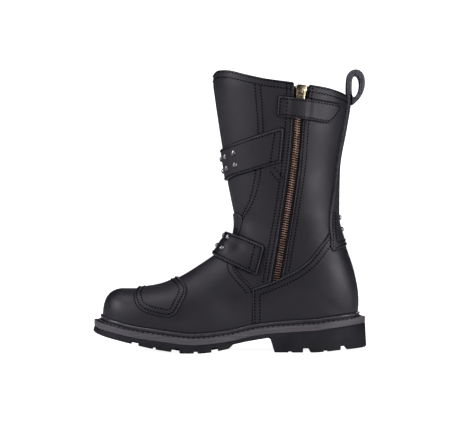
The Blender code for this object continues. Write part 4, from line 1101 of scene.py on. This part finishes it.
def make_cloths():
    """The woven lining, the foot board and the zip's ribbed tape."""
    lining, tree, shader = new_material("woven_lining", 0.85, specular=0.2)
    given = {"Vector": object_place(tree), "Scale": 520.0}
    weave = node_of(tree, "ShaderNodeTexVoronoi", given).outputs["Distance"]
    open_weave = ranged(tree, weave, 0.1, 0.7, 0.0, 1.0)
    paint(tree, shader, open_weave, (0.030, 0.030, 0.032), (0.008, 0.008, 0.009))
    bump(tree, shader, times(tree, weave, -1.0), 0.0003)
    board, tree, shader = new_material("foot_board", 0.8, specular=0.3)
    fibres = noise(tree, object_place(tree), 700.0, 5.0, 0.7)
    paint(tree, shader, fibres, (0.012, 0.011, 0.010), (0.045, 0.039, 0.034))
    bump(tree, shader, fibres, 0.0002)
    tape, tree, shader = new_material("woven_zip_tape", 0.85, specular=0.25)
    slanted = object_place(tree, turn=(0.0, math.radians(10.0), 0.0))
    ribs = node_of(tree, "ShaderNodeTexWave", {"Vector": slanted, "Scale": 330.0, "Distortion": 0.6})
    ribs.bands_direction = "Z"
    paint(tree, shader, ribs.outputs["Fac"], (0.004, 0.004, 0.0045), (0.016, 0.016, 0.017))
    bump(tree, shader, ribs.outputs["Fac"], 0.00025)
    return {"lining": lining, "insole": board, "tape": tape}


def make_rubbers():
    """The welt with its streaks, the rolled rib and the moulded outsole."""
    made = {}
    for name, dark, pale, rough, relief in (
        ("welt", (0.028, 0.026, 0.029), (0.078, 0.073, 0.080), 0.58, 0.00022),
        ("bead", (0.0150, 0.0145, 0.0165), (0.0450, 0.0432, 0.0480), 0.27, 0.00008),
    ):
        made[name], tree, shader = new_material(name + "_rubber", rough, specular=0.45)
        streaks = times(tree, noise(tree, object_place(tree, (34.0, 34.0, 1500.0)), 1.0, 4.0, 0.6), 0.7)
        specks = times(tree, noise(tree, object_place(tree), 1900.0, 2.0), 0.3)
        blend = plus(tree, streaks, specks)
        color = mixed(tree, ranged(tree, blend, 0.30, 0.70, 0.0, 1.0), dark, pale)
        paint(tree, shader, placed(tree, DUST, {"Amount": 0.35})["Dust"], color, (0.16, 0.155, 0.15))
        bump(tree, shader, blend, relief)
    made["outsole"], tree, shader = new_material("moulded_rubber", 0.62, specular=0.2)
    cast = noise(tree, object_place(tree), 1300.0, 3.0, 0.6)
    cloud = noise(tree, object_place(tree), 45.0, 4.0)
    blend = ranged(tree, plus(tree, times(tree, cast, 0.5), times(tree, cloud, 0.5)), 0.35, 0.65, 0.0, 1.0)
    color = mixed(tree, blend, (0.0040, 0.0039, 0.0049), (0.0086, 0.0083, 0.0103))
    paint(tree, shader, placed(tree, DUST, {"Amount": 0.25})["Dust"], color, (0.030, 0.029, 0.028))
    tree.links.new(ranged(tree, cloud, 0.3, 0.7, 0.54, 0.70), shader.inputs["Roughness"])
    bump(tree, shader, cast, 0.00018)
    return made


def make_metals():
    """Tarnished metals, each from dark and matt to bright and smooth."""
    made = {}
    for name, dark, pale, low, high in (
        ("teeth", (0.190, 0.115, 0.078), (0.640, 0.410, 0.285), 0.34, 0.52),
        ("brass", (0.095, 0.070, 0.042), (0.54, 0.45, 0.29), 0.20, 0.38),
        ("steel", (0.055, 0.055, 0.058), (0.30, 0.30, 0.31), 0.24, 0.40),
    ):
        made[name], tree, shader = new_material(name + "_metal", 0.3, 1.0)
        tarnish = noise(tree, object_place(tree), 260.0, 4.0, 0.6)
        paint(tree, shader, ranged(tree, tarnish, 0.33, 0.62, 0.0, 1.0), dark, pale)
        tree.links.new(ranged(tree, tarnish, 0.3, 0.7, high, low), shader.inputs["Roughness"])
        bump(tree, shader, noise(tree, object_place(tree, (1.0, 1.0, 6.0)), 1800.0, 2.0), 0.00003)
    return made


def floor_finish():
    """White paper that also shines towards the camera alone."""
    made, tree, shader = new_material("studio_floor", 0.9, specular=0.1)
    paint(tree, shader, noise(tree, object_place(tree), 3.0, 3.0), (0.84, 0.84, 0.84), (0.88, 0.88, 0.88))
    seen = tree.nodes.new("ShaderNodeLightPath").outputs["Is Camera Ray"]
    tree.links.new(mixed(tree, seen, (0.0, 0.0, 0.0), (1.0, 1.0, 1.0)), shader.inputs["Emission Color"])
    shader.inputs["Emission Strength"].default_value = FLOOR_GLOW
    return made


def make_materials():
    """All finishes by the name of what they cover."""
    finishes = {**make_leathers(), **make_threads(), **make_cloths(), **make_rubbers(), **make_metals()}
    return {**finishes, "floor": floor_finish()}


# Leather pieces.

def with_column(table, values):
    return np.concatenate([table, np.reshape(values, (-1, 1))], axis=1)


def sewn(name, lines, finish="thread", piece="stitch", pitch=STITCH_PITCH):
    """Stitches along lines, carried by the boot."""
    if lines:
        carried(rows_of(name, lines, PIECES[piece], FINISH[finish], pitch))


def painted_shade_closeness(outlines):
    """How near each point of the form is to the rib and the pieces on it: 1 at their edge, 0 at 10 mm. The
    leather's finish turns this into a painted shadow beside their edges.
    """
    far = FORM[:, 2] - sole_column("top", FORM[:, 0] / LENGTH + REST) - RIB_TOP
    for outline, sides in outlines:
        far = np.minimum(far, outline_distance(FORM, outline, sides))
    return 1.0 - far / 0.0100


def leather_panel(name, outline, low, high, finish, sides=BOTH, rows=None, keep=None, under=()):
    """One panel with its stitched rows, at distances in from its cut edge. under: what lies on it, beside
    whose edges this panel gets a painted shadow.
    """
    field = outline_distance(FORM, outline, sides)
    # The last column is the nearness that sets the painted shadow beside what lies on this panel.
    table = with_column(with_column(FORM, field), painted_shade_closeness(under))
    table, faces = trimmed(table, FORM_FACES, 7)
    near, far = (v(table) if callable(v) else np.full(len(table), v) for v in (low, high))
    obj = panel(name + "_leather", table, faces, 7, near, far, FINISH[finish], extra={"beside": table[:, 8]})
    carried(obj, name)
    lines = []
    for row in ROWS[finish] if rows is None else rows:
        lines += lifted(table, faces, 7, -row, high, keep)
    sewn(name + "_leather_stitches", lines)


def zip_column(column, z):
    rows = ZIP_LINE[::-1]
    return smooth([row[1] for row in rows], [row[column] for row in rows], z)


def zip_strip(half, top, bottom, flared=False):
    """The outline of a strip along the zip in metres, between two shares of HEIGHT."""
    levels = np.linspace(top, bottom, 40)
    middle = zip_column(0, np.minimum(levels, 1.01))
    wide = half / LENGTH * (zip_column(2, np.minimum(levels, 1.01)) if flared else np.ones(len(levels)))
    front = np.stack([along(middle - wide), HEIGHT * levels], axis=1)
    back = np.stack([along(middle + wide), HEIGHT * levels], axis=1)
    return np.concatenate([front, back[::-1]])


def beside_line(table, rows, sides):
    """Signed distance in the side view from the middle of two stitched rows, and far off past their ends."""
    shares = {name: np.array(points) for name, _, points in SHAFT_ROWS}
    middle = (smooth_line(shares[rows[0]], 60) + smooth_line(shares[rows[1]], 60)) / 2
    path = np.stack([along(middle[:, 0]), HEIGHT * middle[:, 1]], axis=1)
    flat = table[:, [0, 2]]
    best = np.full(len(flat), FAR_OFF)
    for p, q in zip(path[:-1], path[1:]):
        edge = q - p
        t = (flat - p) @ edge / (edge @ edge)
        off = flat - (p + np.clip(t, 0, 1)[:, None] * edge)
        far = np.linalg.norm(off, axis=1)
        sign = np.sign(edge[0] * off[:, 1] - edge[1] * off[:, 0])
        best = np.where((far < np.abs(best)) & (t > -0.5) & (t < 1.5), far * sign, best)
    if len(sides) == 1:
        best = np.where(table[:, 1] * sides[0] > 0, best, FAR_OFF)
    return best


def make_upper():
    """The shaft and the hidden foot: one shell, open at the collar, at the zip and underneath."""
    slot = outline_distance(FORM, zip_strip(ZIP_HALF, 1.2, ZIP_LINE[-1][1], True), (-1,))
    table = with_column(FORM, np.maximum(-FORM[:, 6], -slot))
    for rows, sides in (
        (("front seam, front row", "front seam, rear row"), BOTH),
        (("zip, front outer", "zip, front inner"), (-1,)),
        (("zip, rear inner", "zip, rear outer"), (-1,)),
    ):
        table = with_column(table, beside_line(FORM, rows, sides))
    above = [(rounded(shape), BOTH) for shape in (VAMP, COUNTER, BACK_STAY, STRAP_UPPER, STRAP_LOWER)]
    # Painted shadow on the shaft beside the rib and the pieces that lie on it, passed on as beside.
    table = with_column(table, painted_shade_closeness([*above, (rounded(FLAP), (-1,))]))
    table, faces = trimmed(table, FORM_FACES, 7)
    extra = dict(zip(("front_seam", "zip_front", "zip_rear", "beside"), table[:, 8:12].T))
    inner, outer = np.full(len(table), -WALL), np.zeros(len(table))
    obj = panel("upper_leather", table, faces, 7, inner, outer, FINISH["upper"], FINISH["lining"], extra)
    carried(obj, "upper")
    collar = with_column(FORM, -FORM[:, 6])
    lines = []
    for row in ROWS["upper"]:
        lines += lifted(collar, FORM_FACES, 7, -row, 0.0, clear_of_slot)
    for _, sides, shares in SHAFT_ROWS:
        lines += [drawn_line(shares, side, 0.0) for side in sides]
    sewn("shaft_stitches", lines)


def clear_of_slot(part):
    """True where a point of the collar's rows is not in the zip's slot."""
    far = np.abs(part[:, 0] - along(zip_column(0, np.minimum(part[:, 2] / HEIGHT, 1.01))))
    return (part[:, 1] > 0) | (far > SLOT_CLEAR)


def strap_lift(points):
    """How far the lower strap stands off the hollow of the instep, towards its upper edge."""
    up = points[:, 2] / HEIGHT
    ahead = points[:, 0] / LENGTH + REST - (0.428 + 0.5 * (up - 0.344))
    return STRAP_STANDS_OFF * ease((0.105 - ahead) / 0.055) * ease((up - 0.330) / 0.050)


def flap_lift(points):
    """How far the flap bulges over the slider and its tab."""
    middle = zip_column(0, np.clip(points[:, 2] / HEIGHT, 0.2, 1.01))
    far = np.abs(points[:, 0] / LENGTH + REST - middle) * LENGTH
    return 4 * GAP + FLAP_BULGE * ease((FLAP_FLAT - far) / (FLAP_FLAT - FLAP_ROOM))


def flap_top(points):
    return flap_lift(points) + OVERLAY + 0.0004


def strap_under(points):
    return ON_VAMP + strap_lift(points)


def strap_top(points):
    return ON_VAMP + STRAP + strap_lift(points)


def make_foot_panels():
    """The vamp, the counter, the back stay and the shift pad."""
    top = GAP + OVERLAY
    vamp, counter, stay, pad, strap = map(rounded, (VAMP, COUNTER, BACK_STAY, SHIFT_PAD, STRAP_LOWER))

    def up_the_front(part):
        low, high = part[:, 2] > 0.213 * HEIGHT, part[:, 2] < 0.44 * HEIGHT
        return low & high & (part[:, 0] > along(0.46))

    def off_the_sole(part):
        return (part[:, 0] < along(0.886)) & (part[:, 2] > 0.085 * HEIGHT)

    def below_the_strap(part):
        return part[:, 2] < 0.50 * HEIGHT

    on_vamp, on_counter = (pad, strap, counter), (stay, strap)
    leather_panel(
        "vamp", vamp, 0.0, top, "vamp", keep=up_the_front, under=[(shape, BOTH) for shape in on_vamp],
    )
    leather_panel(
        "counter", counter, 0.0, top + 0.0002, "counter", keep=off_the_sole,
        under=[(shape, BOTH) for shape in on_counter],
    )
    leather_panel("back_stay", stay, 0.0, STAY_TOP, "back_stay", keep=below_the_strap)
    leather_panel("shift_pad", pad, top - 0.0002, top + GAP + OVERLAY, "shift_pad")


def make_straps():
    """Both straps and the zip's flap, with the rows across their sewn ends."""
    top = GAP + STRAP
    leather_panel("strap_upper", rounded(STRAP_UPPER), 0.0, top, "strap")
    sewn("strap_upper_end_stitches", [drawn_line(STRAP_UPPER_END, side, top) for side in BOTH])
    leather_panel("strap_lower", rounded(STRAP_LOWER), strap_under, strap_top, "strap_low")
    sewn("strap_lower_end_stitches", [drawn_line(STRAP_LOWER_END, side, strap_top) for side in BOTH])
    leather_panel("zip_flap", rounded(FLAP), flap_lift, flap_top, "strap", sides=(-1,), rows=(0.0021,))
    sewn("flap_end_stitches", [drawn_line(FLAP_END, -1, flap_top)])


def closed_curve(shares, count):
    """A smooth closed line in metres through shares, at even steps."""
    raw = np.array([(along(x), HEIGHT * z) for x, z in shares])
    n = len(raw)
    fine = []
    for i in range(n):
        p0, p1, p2, p3 = (raw[(i + k) % n] for k in (-1, 0, 1, 2))
        second, third = 2 * p0 - 5 * p1 + 4 * p2 - p3, 3 * p1 - p0 - 3 * p2 + p3
        for t in np.linspace(0, 1, 12, endpoint=False):
            fine.append(0.5 * (2 * p1 + (p2 - p0) * t + second * t**2 + third * t**3))
    return spread(np.array(fine + fine[:1]), count)[:-1]


def make_loop():
    """The folded pull loop: a doubled strap with turned edges."""
    count, sides = 72, 20
    section = []
    for turn in turns(sides):
        across, wide = math.cos(turn), math.sin(turn)
        section.append((np.sign(across) * abs(across) ** 0.35, np.sign(wide) * abs(wide) ** 0.22))
    points = []
    for outer, inner in zip(closed_curve(LOOP_OUTER, count), closed_curve(LOOP_INNER, count)):
        for across, wide in section:
            flat = (outer + inner) / 2 + (outer - inner) / 2 * across
            points.append((flat[0], LOOP_WIDTH / 2 * wide, flat[1]))
    edge = [LOOP_WIDTH / 2 * (1 - abs(wide)) for _, wide in section] * count
    obj = face_out(add_mesh("pull_loop_leather", points, band(count, sides, True), {"edge": edge}))
    soften(obj, 60.0)
    obj.data.materials.append(FINISH["loop"])
    carried(obj, "pull_loop")


# The sole.

def sole_loop():
    """The sole's outline at even steps, inner side toe to heel and back: places and ways in."""
    rows = np.array([SOLE_TIPS[0], *SOLE, SOLE_TIPS[1]])
    numbers = np.arange(len(rows), dtype=float)
    trial = np.linspace(0.0, len(rows) - 1.0, 4000)
    x, middle, half = (smooth(numbers, rows[:, k], trial) for k in range(3))
    middle, half = BALL * middle, BALL * half
    far = distances(np.stack([along(x), half], axis=1))
    count = int(far[-1] / SOLE_STEP)
    wanted = np.linspace(0.0, far[-1], count + 1)
    x, half, middle = (np.interp(wanted, far, v) for v in (x, half, middle))
    left = np.stack([along(x), middle - half], axis=1)
    right = np.stack([along(x), middle + half], axis=1)
    spine_x = np.clip(along(x), along(x[0]) + TOE_ROUND, along(x[-1]) - HEEL_ROUND)
    spine = np.stack([spine_x, np.interp(spine_x, along(x), middle)], axis=1)
    loop = np.concatenate([left, right[::-1][1:-1]])
    inwards = np.concatenate([spine, spine[::-1][1:-1]]) - loop
    return loop, inwards / np.linalg.norm(inwards, axis=1, keepdims=True), count


def layered(name, steps):
    """A sole piece from loops of the outline, each with an inset and a height function, bottom first."""
    loop, inwards, count = sole_loop()
    rings = []
    for inset, height in steps:
        flat = loop + inwards * inset
        rings.append(np.column_stack([flat, height(flat[:, 0] / LENGTH + REST)]))
    n = len(loop)
    faces = band(len(rings), n)
    for base in (0, (len(rings) - 1) * n):
        for i in range(count):
            right = (base + (n - i) % n, base + n - i - 1)
            faces.append(tuple(dict.fromkeys((base + i, base + i + 1, right[1], right[0]))))
    return face_out(add_mesh(name, np.concatenate(rings), faces))


def wedge_boxes():
    """Every notch and groove of the tread as one set of wedges, wider at the floor."""
    points, faces = [], []
    flare = 0.0012 + 0.1 * HEEL
    cuts = [(*notch, False) for notch in NOTCHES] + [(*groove, True) for groove in GROOVES]
    for start, end, depth, reach, middle_only in cuts:
        x0, x1, mid = along(start), along(end), (start + end) / 2
        roof = float(sole_column("tread", mid)) + depth * HEEL
        centre, half = float(sole_column("middle", mid)), float(sole_column("half", mid))
        near, far = (1 - reach) * half, 2 * half
        spans = [(centre - far, centre - near), (centre + near, centre + far)]
        if middle_only:
            spans = [(centre - reach * half, centre + reach * half)]
        elif reach == 1.0:
            spans = [(centre - far, centre + far)]
        for y0, y1 in spans:
            a = len(points)
            for z, grow in ((-HEEL, flare), (roof, 0.0)):
                points += [(x0 - grow, y0, z), (x1 + grow, y0, z), (x1 + grow, y1, z), (x0 - grow, y1, z)]
            faces += [tuple(a + k for k in face) for face in caps(2, 4) + band(2, 4)]
    return face_out(add_mesh("tread_wedges", points, faces))


def merged(obj, degrees):
    """Joins double points and makes nearly flat places one face."""
    shape = bmesh.new()
    shape.from_mesh(obj.data)
    bmesh.ops.remove_doubles(shape, verts=shape.verts, dist=1e-6)
    limit = math.radians(degrees)
    bmesh.ops.dissolve_limit(shape, angle_limit=limit, verts=shape.verts, edges=shape.edges)
    shape.to_mesh(obj.data)
    shape.free()


def bevelled(obj, width, degrees, shade):
    """The piece with small rounded edges wherever it bends more than this."""
    step = obj.modifiers.new("rounded edges", "BEVEL")
    step.width, step.segments, step.limit_method = width, 2, "ANGLE"
    step.angle_limit = math.radians(degrees)
    return soften(settled(obj), shade)


def sole_top(x):
    return sole_column("top", x)


def tread(x):
    return sole_column("tread", x)


def make_outsole():
    """The moulded unit, its notches and grooves cut out."""
    def top(x):
        return sole_top(x) - GAP / 2

    obj = layered("outsole_rubber", [
        (0.0004, tread),
        (-0.0012, lambda x: tread(x) + 0.0016),
        (0.0, lambda x: np.maximum(tread(x) + 0.0020, top(x) - 0.0005)),
        (0.0004, top),
    ])
    tool = wedge_boxes()
    step = obj.modifiers.new("lugs", "BOOLEAN")
    step.operation, step.solver, step.object = "DIFFERENCE", "EXACT", tool
    settled(obj)
    bpy.data.objects.remove(tool, do_unlink=True)
    merged(obj, 0.3)
    bevelled(obj, 0.0004, 40.0, 40.0)
    obj.data.materials.append(FINISH["outsole"])
    carried(obj, "outsole")


def make_midsole():
    """The thin layer between the outsole and the welt."""
    obj = layered("midsole_rubber", [
        (0.0006, lambda x: sole_top(x) + GAP / 2),
        (0.0001, lambda x: sole_top(x) + GAP / 2 + 0.0005),
        (0.0001, lambda x: sole_top(x) + MIDSOLE + GAP / 2),
    ])
    soften(obj, 40.0)
    obj.data.materials.append(FINISH["welt"])
    carried(obj, "midsole")


def leather_reach(loop, inwards, shelf):
    """How far in from the sole's edge the leather is, just over the welt."""
    skin = tree_of(FORM[:, :3] + FORM[:, 3:6] * (GAP + OVERLAY), FORM_FACES)
    reach = []
    for (x, y), (dx, dy), z in zip(loop, inwards, shelf):
        place, _, _, far = skin.ray_cast(Vector((x, y, z + RIB_RISE)), Vector((dx, dy, 0)))
        reach.append(far if place is not None else np.nan)
    reach = np.array(reach)
    good = np.isfinite(reach)
    index = np.arange(len(reach))
    reach = np.interp(index, index[good], reach[good])
    window = np.hanning(9) / np.hanning(9).sum()
    reach = np.convolve(np.concatenate([reach[-4:], reach, reach[:4]]), window, mode="valid")
    return np.maximum(reach, 0.0046)


def make_welt():
    """The welt's shelf, its stitched channel and the rolled rib that hugs the leather."""
    loop, inwards, _ = sole_loop()
    shelf = sole_top(loop[:, 0] / LENGTH + REST) + MIDSOLE + WELT + GAP / 2
    reach = leather_reach(loop, inwards, shelf)
    bead = []
    for turn in np.radians(np.arange(-50, 190, 20)):
        bead.append((reach - 0.0009 - BEAD * math.cos(turn), RIB_RISE + BEAD * math.sin(turn)))
    flat = 0 * reach
    profile = [
        (flat, -WELT), (flat, -0.0007), (flat + 0.0002, -0.0002), (flat + 0.0007, 0.0),
        (reach - 0.0027, 0.0), (reach - 0.0022, 0.0004), (reach - 0.0018, 0.0026),
        *bead, (reach + 0.0016, 0.0036), (reach + 0.0016, -WELT),
    ]
    rings = [np.column_stack([loop + inwards * inset[:, None], shelf + height]) for inset, height in profile]
    n = len(loop)
    obj = face_out(add_mesh("welt_and_rib", np.concatenate(rings), band(len(rings), n, True)))
    soften(obj, 40.0)
    for finish in ("welt", "bead", "outsole"):
        obj.data.materials.append(FINISH[finish])
    slots = np.zeros(len(obj.data.polygons), np.int32)
    slots[3 * n:6 * n] = 2
    slots[6 * n:(7 + len(bead)) * n] = 1
    obj.data.polygons.foreach_set("material_index", slots)
    carried(obj, "welt")
    row = np.column_stack([loop + inwards * (reach - 0.0037)[:, None], shelf + 0.0002])
    out = np.tile([0.0, 0.0, 1.0], (n + 1, 1))
    line = np.concatenate([np.concatenate([row, row[:1]]), out], axis=1)
    sewn("welt_stitches", [line], "welt_thread", "welt_stitch", WELT_PITCH)


# Zip, studs and buckles.

def tooth_piece():
    """One zip tooth: a leg on the tape and a rounded head that reaches past the middle line."""
    outline = (
        (-0.00036, -0.0030), (0.00036, -0.0030), (0.00036, -0.0008), (0.00046, 0.0000), (0.00044, 0.0005),
        (0.00020, 0.0007), (-0.00020, 0.0007), (-0.00044, 0.0005), (-0.00046, 0.0000), (-0.00036, -0.0008),
    )
    points = []
    for z, wide, deep in ((0.0, 1.0, 1.0), (0.0013, 1.0, 1.0), (0.0018, 0.72, 0.93)):
        points += [(x * wide, -0.0011 + (y + 0.0011) * deep, z) for x, y in outline]
    return face_out(add_mesh("tooth", points, band(3, len(outline)) + caps(3, len(outline))))


def copy_of(name, source, width, finish):
    """A CAD piece copied, merged and given small rounded edges."""
    obj = link(bpy.data.objects.new(name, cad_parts[source].data.copy()))
    merged(obj, 1.0)
    bevelled(obj, width, 30.0, 35.0)
    obj.data.materials.clear()
    obj.data.materials.append(FINISH[finish])
    return obj


def make_zip_tape():
    """The cloth behind the slot."""
    bottom, under = ZIP_LINE[-1][1], -(WALL + GAP)
    field = outline_distance(FORM, zip_strip(TAPE_HALF, 0.948, bottom - 0.02), (-1,))
    table, faces = trimmed(with_column(FORM, field), FORM_FACES, 7)
    low, high = np.full(len(table), under - TAPE), np.full(len(table), under + 0.0001)
    carried(panel("zip_tape_cloth", table, faces, 7, low, high, FINISH["tape"]), "zip_tape")


def make_teeth():
    """Two rows of teeth that mesh, half a pitch apart."""
    levels = np.linspace(SLIDER_AT - 0.030, ZIP_LINE[-1][1] + 0.006, 90)
    middle = [on_side(float(zip_column(0, z)), float(z), -1) for z in levels]
    line = np.array([[*(p + n * (-WALL + 0.0001)), *n] for p, n in middle])
    later = int(np.searchsorted(distances(line[:, :3])[1:], TOOTH_PITCH / 2)) + 1
    start = line[later - 1, :3] + (line[later, :3] - line[later - 1, :3]) * 0.5
    shifted = np.concatenate([[[*start, *line[later, 3:6]]], line[later:]])
    for name, row, node in (("zip_teeth_front", line, "zip_chain"), ("zip_teeth_rear", shifted[::-1], None)):
        obj = rows_of(name, [row], PIECES["tooth"], FINISH["teeth"], TOOTH_PITCH, 0.0)
        carried(soften(obj, 35.0), node)


def make_zip():
    make_zip_tape()
    make_teeth()
    slider = copy_of("zip_slider_brass", "zip_slider", 0.00045, "brass")
    carried(slider, "zip_slider")
    pull = copy_of("zip_pull_brass", "zip_pull", 0.00022, "brass")
    carried(pull, "zip_pull", "pull_tab")


def frame_at(place, out, down):
    """A matrix whose Z points out, whose Y points up the piece and whose X lies across."""
    up = (-down - out * out.dot(-down)).normalized()
    return Matrix.Translation(place) @ Matrix((up.cross(out), up, out)).transposed().to_4x4()


def make_stud(name, place, out, lift):
    """A domed nail head with a rolled rim."""
    profile = (
        (1.0, -0.15), (1.02, 0.06), (1.0, 0.14), (0.95, 0.34),
        (0.84, 0.60), (0.66, 0.81), (0.42, 0.94), (0.18, 0.99),
    )
    count = 28
    points = []
    for radius, height in profile:
        wide, tall = STUD_RADIUS * radius, STUD_HEIGHT * height
        points += [(wide * math.cos(turn), wide * math.sin(turn), tall) for turn in turns(count)]
    points.append((0, 0, STUD_HEIGHT))
    bottom, rim = caps(len(profile), count)
    faces = [bottom, *band(len(profile), count)]
    faces += [(here, after, len(points) - 1) for here, after in zip(rim, (*rim[1:], rim[0]))]
    obj = add_mesh(name + "_steel", points, faces)
    obj.data.transform(frame_at(place + out * lift, out, Vector((0, 0, -1))))
    soften(face_out(obj), 60.0)
    obj.data.materials.append(FINISH["steel"])
    carried(obj, name)


def make_lower_stud(name, degrees, z):
    """A stud on the lower strap, which stands off the instep."""
    place, out = on_shaft(degrees, z)
    make_stud(name, place, out, float(strap_top(np.array([place]))[0]))


def make_studs():
    """Ten studs on the upper strap, six on the lower and two on the back stay."""
    on_strap = GAP + STRAP
    sides = ((-1, "inner"), (1, "outer"))
    for side, word in sides:
        for n, (degrees, z) in enumerate(STRAP_STUDS):
            make_stud(f"stud_{word}_{n + 1}", *on_shaft(side * degrees, z), on_strap)
    for n, z in enumerate(FRONT_STUDS):
        make_stud(f"stud_front_{n + 1}", *on_shaft(0, z), on_strap)
    for n, z in enumerate(INSTEP_STUDS):
        make_lower_stud(f"stud_instep_{n + 1}", 0, z)
    for side, word in sides:
        for n, (degrees, z) in enumerate(LOWER_STUDS):
            make_lower_stud(f"stud_lower_{word}_{n + 1}", side * degrees, z)
    for n, z in enumerate(BACK_STUDS):
        make_stud(f"stud_back_{n + 1}", *on_shaft(180, z), STAY_TOP)


def buckle_frame(wide, tall, corner):
    """The flat rectangle of a buckle with round corners, at even steps."""
    path = []
    for sx, sy, start in ((1, 1, 0), (-1, 1, 90), (-1, -1, 180), (1, -1, 270)):
        for angle in range(0, 91, 15):
            turn = math.radians(start + angle)
            x = sx * (wide / 2 - corner) + corner * math.cos(turn)
            path.append((x, sy * (tall / 2 - corner) + corner * math.sin(turn), 0.0))
    return spread(np.array(path + path[:1]), 88)[:-1]


def buckle_prong(wide):
    """The prong's line, which rests on the frame's far bar."""
    xs = np.linspace(-wide / 2, wide / 2 + 0.6 * WIRE, 24)
    return [(x, 0.0, 1.1 * WIRE - 1.3 * WIRE * ease(abs(x) / wide)) for x in xs]


def make_buckles():
    """Cast frames with a prong, wrapped onto the outer side of both straps."""
    for name, x, z, slope, strap in BUCKLES:
        base = (GAP + OVERLAY if name == "buckle_lower" else 0.0) + GAP + STRAP + WIRE + 2 * GAP
        turn = math.atan(slope)
        bars = (
            (buckle_frame(BUCKLE_LONG, strap + 4 * WIRE, 3 * WIRE), WIRE, True),
            (buckle_prong(BUCKLE_LONG), 0.75 * WIRE, False),
        )
        points, faces = [], []
        for line, radius, closed in bars:
            on_leather = []
            for fx, fy, fz in line:
                ahead = math.cos(turn) * fx - math.sin(turn) * fy
                above = math.sin(turn) * fx + math.cos(turn) * fy
                place, out = on_side(x + ahead / LENGTH, z + above / HEIGHT, 1)
                on_leather.append((place + out * (base + max(fz, 0.0)), out))
            bar, bar_faces = tube(on_leather, radius, closed)
            faces += [tuple(i + len(points) for i in face) for face in bar_faces]
            points += list(bar)
        obj = soften(face_out(add_mesh(name + "_steel", points, faces)), 60.0)
        obj.data.materials.append(FINISH["steel"])
        carried(obj, name)


def tube(line, radius, closed, sides=12):
    """A round bar along places with ways out."""
    places = np.array([p for p, _ in line])
    outs = np.array([o for _, o in line])
    ahead = np.roll(places, -1, axis=0) - np.roll(places, 1, axis=0)
    if not closed:
        ahead[0], ahead[-1] = places[1] - places[0], places[-1] - places[-2]
    ahead /= np.linalg.norm(ahead, axis=1, keepdims=True)
    across = np.cross(ahead, outs)
    across /= np.linalg.norm(across, axis=1, keepdims=True)
    up = np.cross(across, ahead)
    points = []
    for p, a, u in zip(places, across, up):
        points += [p + radius * (a * math.cos(turn) + u * math.sin(turn)) for turn in turns(sides)]
    ends = [] if closed else caps(len(places), sides)
    return points, band(len(places), sides, closed) + ends


# The studio.

def add_lamp(kind, name, place, target, energy):
    """A tinted lamp that points at a target."""
    light = bpy.data.lights.new(name, kind)
    light.energy, light.color = energy, LAMP_TINT
    lamp = link(bpy.data.objects.new(name, light))
    lamp.location = place
    lamp.rotation_euler = (Vector(target) - Vector(place)).to_track_quat("-Z", "Y").to_euler()
    return light


def make_stage():
    """The white floor, a world that is brighter to the camera, the lamps and the camera."""
    floor = add_mesh("studio_floor", [(-8, -6, 0), (8, -6, 0), (8, 12, 0), (-8, 12, 0)], [(0, 1, 2, 3)])
    floor.data.materials.append(FINISH["floor"])
    world = bpy.data.worlds.new("studio")
    bpy.context.scene.world = world
    world.use_nodes = True
    tree = world.node_tree
    seen = tree.nodes.new("ShaderNodeLightPath").outputs["Is Camera Ray"]
    given = {"Value": seen, "To Min": WORLD_LIGHT, "To Max": WORLD_SEEN}
    level = node_of(tree, "ShaderNodeMapRange", given).outputs["Result"]
    tree.links.new(level, tree.nodes["Background"].inputs["Strength"])
    tree.nodes["Background"].inputs["Color"].default_value = (1.0, 1.0, 1.0, 1.0)
    for name, place, target, size, power in SOFT_BOXES:
        add_lamp("AREA", name, place, target, power).size = size
    add_lamp("SUN", "ceiling", (-0.3, -1.2, 3.0), (-0.07, 0.0, 0.0), CEILING_LIGHT).angle = math.radians(70)
    camera = link(bpy.data.objects.new("camera", bpy.data.cameras.new("camera")))
    camera.data.lens, camera.data.sensor_width, camera.data.sensor_fit = 117.6, 36.0, "HORIZONTAL"
    camera.location = (-0.0744, -1.70, 0.155)
    camera.rotation_euler = (math.radians(90), 0, 0)
    bpy.context.scene.camera = camera
    bpy.context.scene.view_settings.view_transform = "Standard"


FORM, FORM_FACES = make_form()
FORM_TREE = tree_of(FORM[:, :3], FORM_FACES)
GRAIN, CUT_EDGE, DUST = make_grain_group(), make_edge_group(), make_dust_group()
FINISH = make_materials()
PATH_TREE = path_tree()
PIECES = {
    "stitch": stitch_piece("stitch", STITCH_LONG, STITCH_WIDE),
    "welt_stitch": stitch_piece("welt_stitch", WELT_LONG, WELT_WIDE),
    "tooth": tooth_piece(),
}
make_upper()
make_foot_panels()
make_straps()
make_loop()
make_outsole()
make_midsole()
make_welt()
make_zip()
make_studs()
make_buckles()
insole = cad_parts["insole"]
insole.data.materials.clear()
insole.data.materials.append(FINISH["insole"])
for piece in PIECES.values():
    bpy.data.objects.remove(piece, do_unlink=True)
make_stage()
